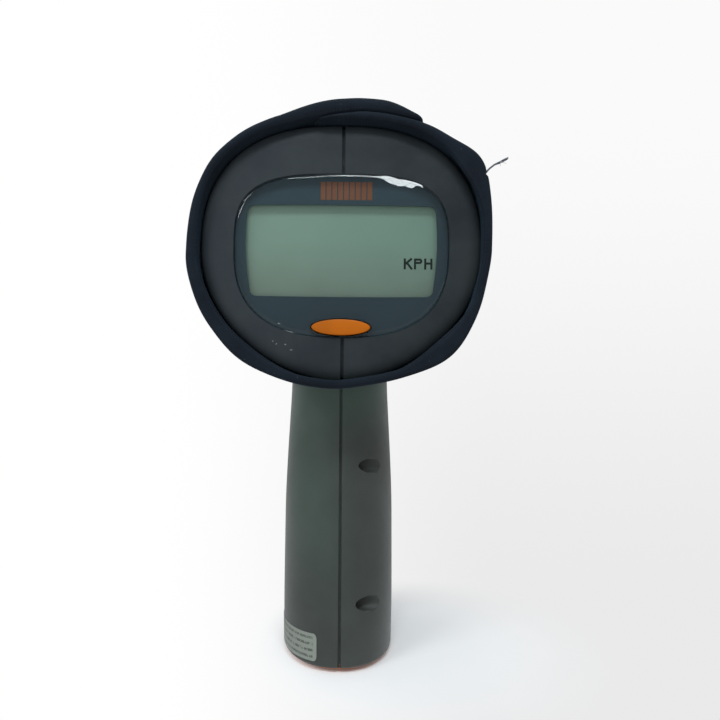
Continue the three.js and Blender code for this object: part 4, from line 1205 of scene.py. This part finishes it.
def stitch_row(start, end, y, top_of):
    """Stitches along a rim from one angle to another, in degrees, on the outer height that top_of gives."""
    stitches = []
    for first in np.radians(np.arange(start, end, STITCH_PITCH)):
        line = []
        for t in np.linspace(0, 1, 5):
            angle = first + math.radians(STITCH_LENGTH) * t
            lift = 0.15 + 0.22 * math.sin(math.pi * t)
            point = head_points(max(y, REAR_Y), angle, top_of(math.degrees(angle)) + lift + slack(angle, y))
            point[1] = y
            line.append(point)
        stitches.append(tube("stitch", line, [0.1, 0.2, 0.22, 0.2, 0.1], 5))
    return stitches


def build_stitches():
    """Seams that hold the wrap's binding: short stitches along both rims of the sleeve and the flap."""
    sleeve, flap = [], []
    for y in (WRAP_REAR + 6.0, WRAP_FRONT - 6.0):
        fold = math.degrees(float(fold_angle(y)))
        sleeve += stitch_row(fold - 358, 88, y, lambda degrees: sleeve_levels(degrees)[1])
        flap += stitch_row(66, fold - 3, y,
                           lambda degrees: flap_levels((fold - degrees) / (fold - FLAP_END), degrees)[1])
    place(join("wrap_stitches", sleeve), thread, "case", "wrap_fabric")
    place(join("flap_stitches", flap), thread, "wrap_flap", "wrap_fabric")


# ---------------- stage, light and camera


def backdrop_level(graph):
    """Brightness of the backdrop: white, with a painted shade that greys it towards the picture's lower
    right.
    """
    x, y, _ = graph.split(graph.node("TexCoord").outputs["Window"])
    # Painted shade: the backdrop greys towards the lower right of the picture.
    shade = graph.times(graph.ramp(x, 0.2, 0.7), graph.ramp(y, 0.85, 0.15, 0.25, 1.0))
    return graph.math("SUBTRACT", 1.0, graph.times(shade, 0.18))


def build_floor():
    """Pale paper, greyed by the backdrop's painted shade, that turns to an even backdrop away from the gun.
    Mirror reflections see it darker.
    """
    corners = [(-4000, -4000, 0), (4000, -4000, 0), (4000, 4000, 0), (-4000, 4000, 0)]
    floor = make_mesh("floor", corners, [(0, 1, 2, 3)])
    floor.location.z = -0.5 * MM
    look = Look("paper", (0.7, 0.7, 0.7, 1), 0.9)
    at = look.position()
    level = backdrop_level(look)
    fibre = look.ramp(look.noise(at, 0.02, 4.0), 0.3, 0.7)
    pale = look.mix(fibre, (0.87, 0.87, 0.87, 1), (0.9, 0.9, 0.9, 1))
    # The paper's colour and its glow both carry the backdrop's painted shade.
    look.set(Base_Color=look.mix(1.0, pale, level, "MULTIPLY"))
    mirrored = look.ramp(look.node("LightPath").outputs["Is Glossy Ray"], 0.0, 1.0, 1.0, 0.4, "LINEAR")
    white = look.node("Emission", {"Color": (1, 1, 1, 1), "Strength": look.times(level, mirrored)}).outputs[0]
    shadow_reach = look.math("SUBTRACT", look.length(at), look.times(look.split(at)[0], 0.5))
    surface = look.mix_shaders(look.ramp(shadow_reach, 20.0, 62.0), look.shader.outputs[0], white)
    look.plug(surface, look.tree.nodes["Material Output"].inputs["Surface"])
    floor.data.materials.append(look.material)


def build_world():
    """White to the camera, a soft sky to other rays: bright ahead of the gun, dimmer behind the camera."""
    world = bpy.data.worlds.new("studio")
    bpy.context.scene.world = world
    world.use_nodes = True
    world.node_tree.nodes.clear()
    sky = Graph(world.node_tree)
    rays = sky.node("LightPath")
    ahead = sky.split(sky.node("TexCoord").outputs["Generated"])[1]
    behind = sky.ramp(rays.outputs["Is Glossy Ray"], 0.0, 1.0, 0.55, 0.22, "LINEAR")
    glow = sky.ramp(ahead, -0.4, 0.7, behind, 0.9)
    soft = sky.node("Background", {"Color": (0.94, 0.97, 1.0, 1), "Strength": glow}).outputs[0]
    # The backdrop the camera sees carries the painted shade towards the lower right.
    white = sky.node("Background", {"Color": (1, 1, 1, 1), "Strength": backdrop_level(sky)}).outputs[0]
    sky.node("OutputWorld", {"Surface": sky.mix_shaders(rays.outputs["Is Camera Ray"], soft, white)})


def area_light(name, spot, aim, size, power, color=(1, 1, 1), mirrored=True):
    """A rectangular lamp, with its places in metres. It may be left out of mirror reflections."""
    data = bpy.data.lights.new(name, "AREA")
    data.shape = "RECTANGLE"
    data.size, data.size_y = size
    data.energy = power
    data.color = color
    light = bpy.data.objects.new(name, data)
    light.location = spot
    light.rotation_euler = (Vector(aim) - Vector(spot)).to_track_quat("-Z", "Y").to_euler()
    light.visible_glossy = mirrored
    bpy.context.scene.collection.objects.link(light)


def build_lights():
    area_light("lamp", (0.06, -0.58, 0.95), (0, 0, 0.15), (0.6, 0.2), 6.2, (0.9, 0.97, 1.0))
    area_light("front_fill", (-0.3, -0.95, 0.16), (0, 0, 0.1), (0.7, 0.4), 2.2, (0.97, 0.99, 1.0), False)
    area_light("overhead", (0.0, 0.1, 0.95), (0, 0, 0.14), (0.5, 0.3), 1.0)
    area_light("left_fill", (-0.75, -0.5, 0.75), (0, 0, 0.12), (0.4, 0.4), 4.0, (0.95, 0.98, 1.0))
    area_light("right_fill", (0.8, -0.5, 0.2), (0, 0, 0.05), (0.5, 0.5), 0.5, (1.0, 0.98, 0.95), False)


def build_camera():
    """Behind the gun, looking along the beam, with a slight roll."""
    data = bpy.data.cameras.new("photo_camera")
    data.lens = 28.0
    data.sensor_width = 36.0
    data.clip_start = 0.01
    data.shift_x = 0.0319
    camera = bpy.data.objects.new("photo_camera", data)
    camera.location = (-0.0013, -0.246, 0.1226)
    along_beam = Euler((math.pi / 2, 0, 0)).to_matrix()
    camera.rotation_euler = (along_beam @ Matrix.Rotation(math.radians(0.5), 3, "Z")).to_euler()
    bpy.context.scene.collection.objects.link(camera)
    bpy.context.scene.camera = camera


build_case()
build_window()
build_mask()
build_lcd_unit()
build_button()
build_front()
build_trigger()
build_trigger_spring()
build_door()
build_label()
build_wrap()
build_threads()
build_stitches()
build_floor()
build_world()
build_lights()
build_camera()
bpy.context.scene.view_settings.view_transform = "Standard"
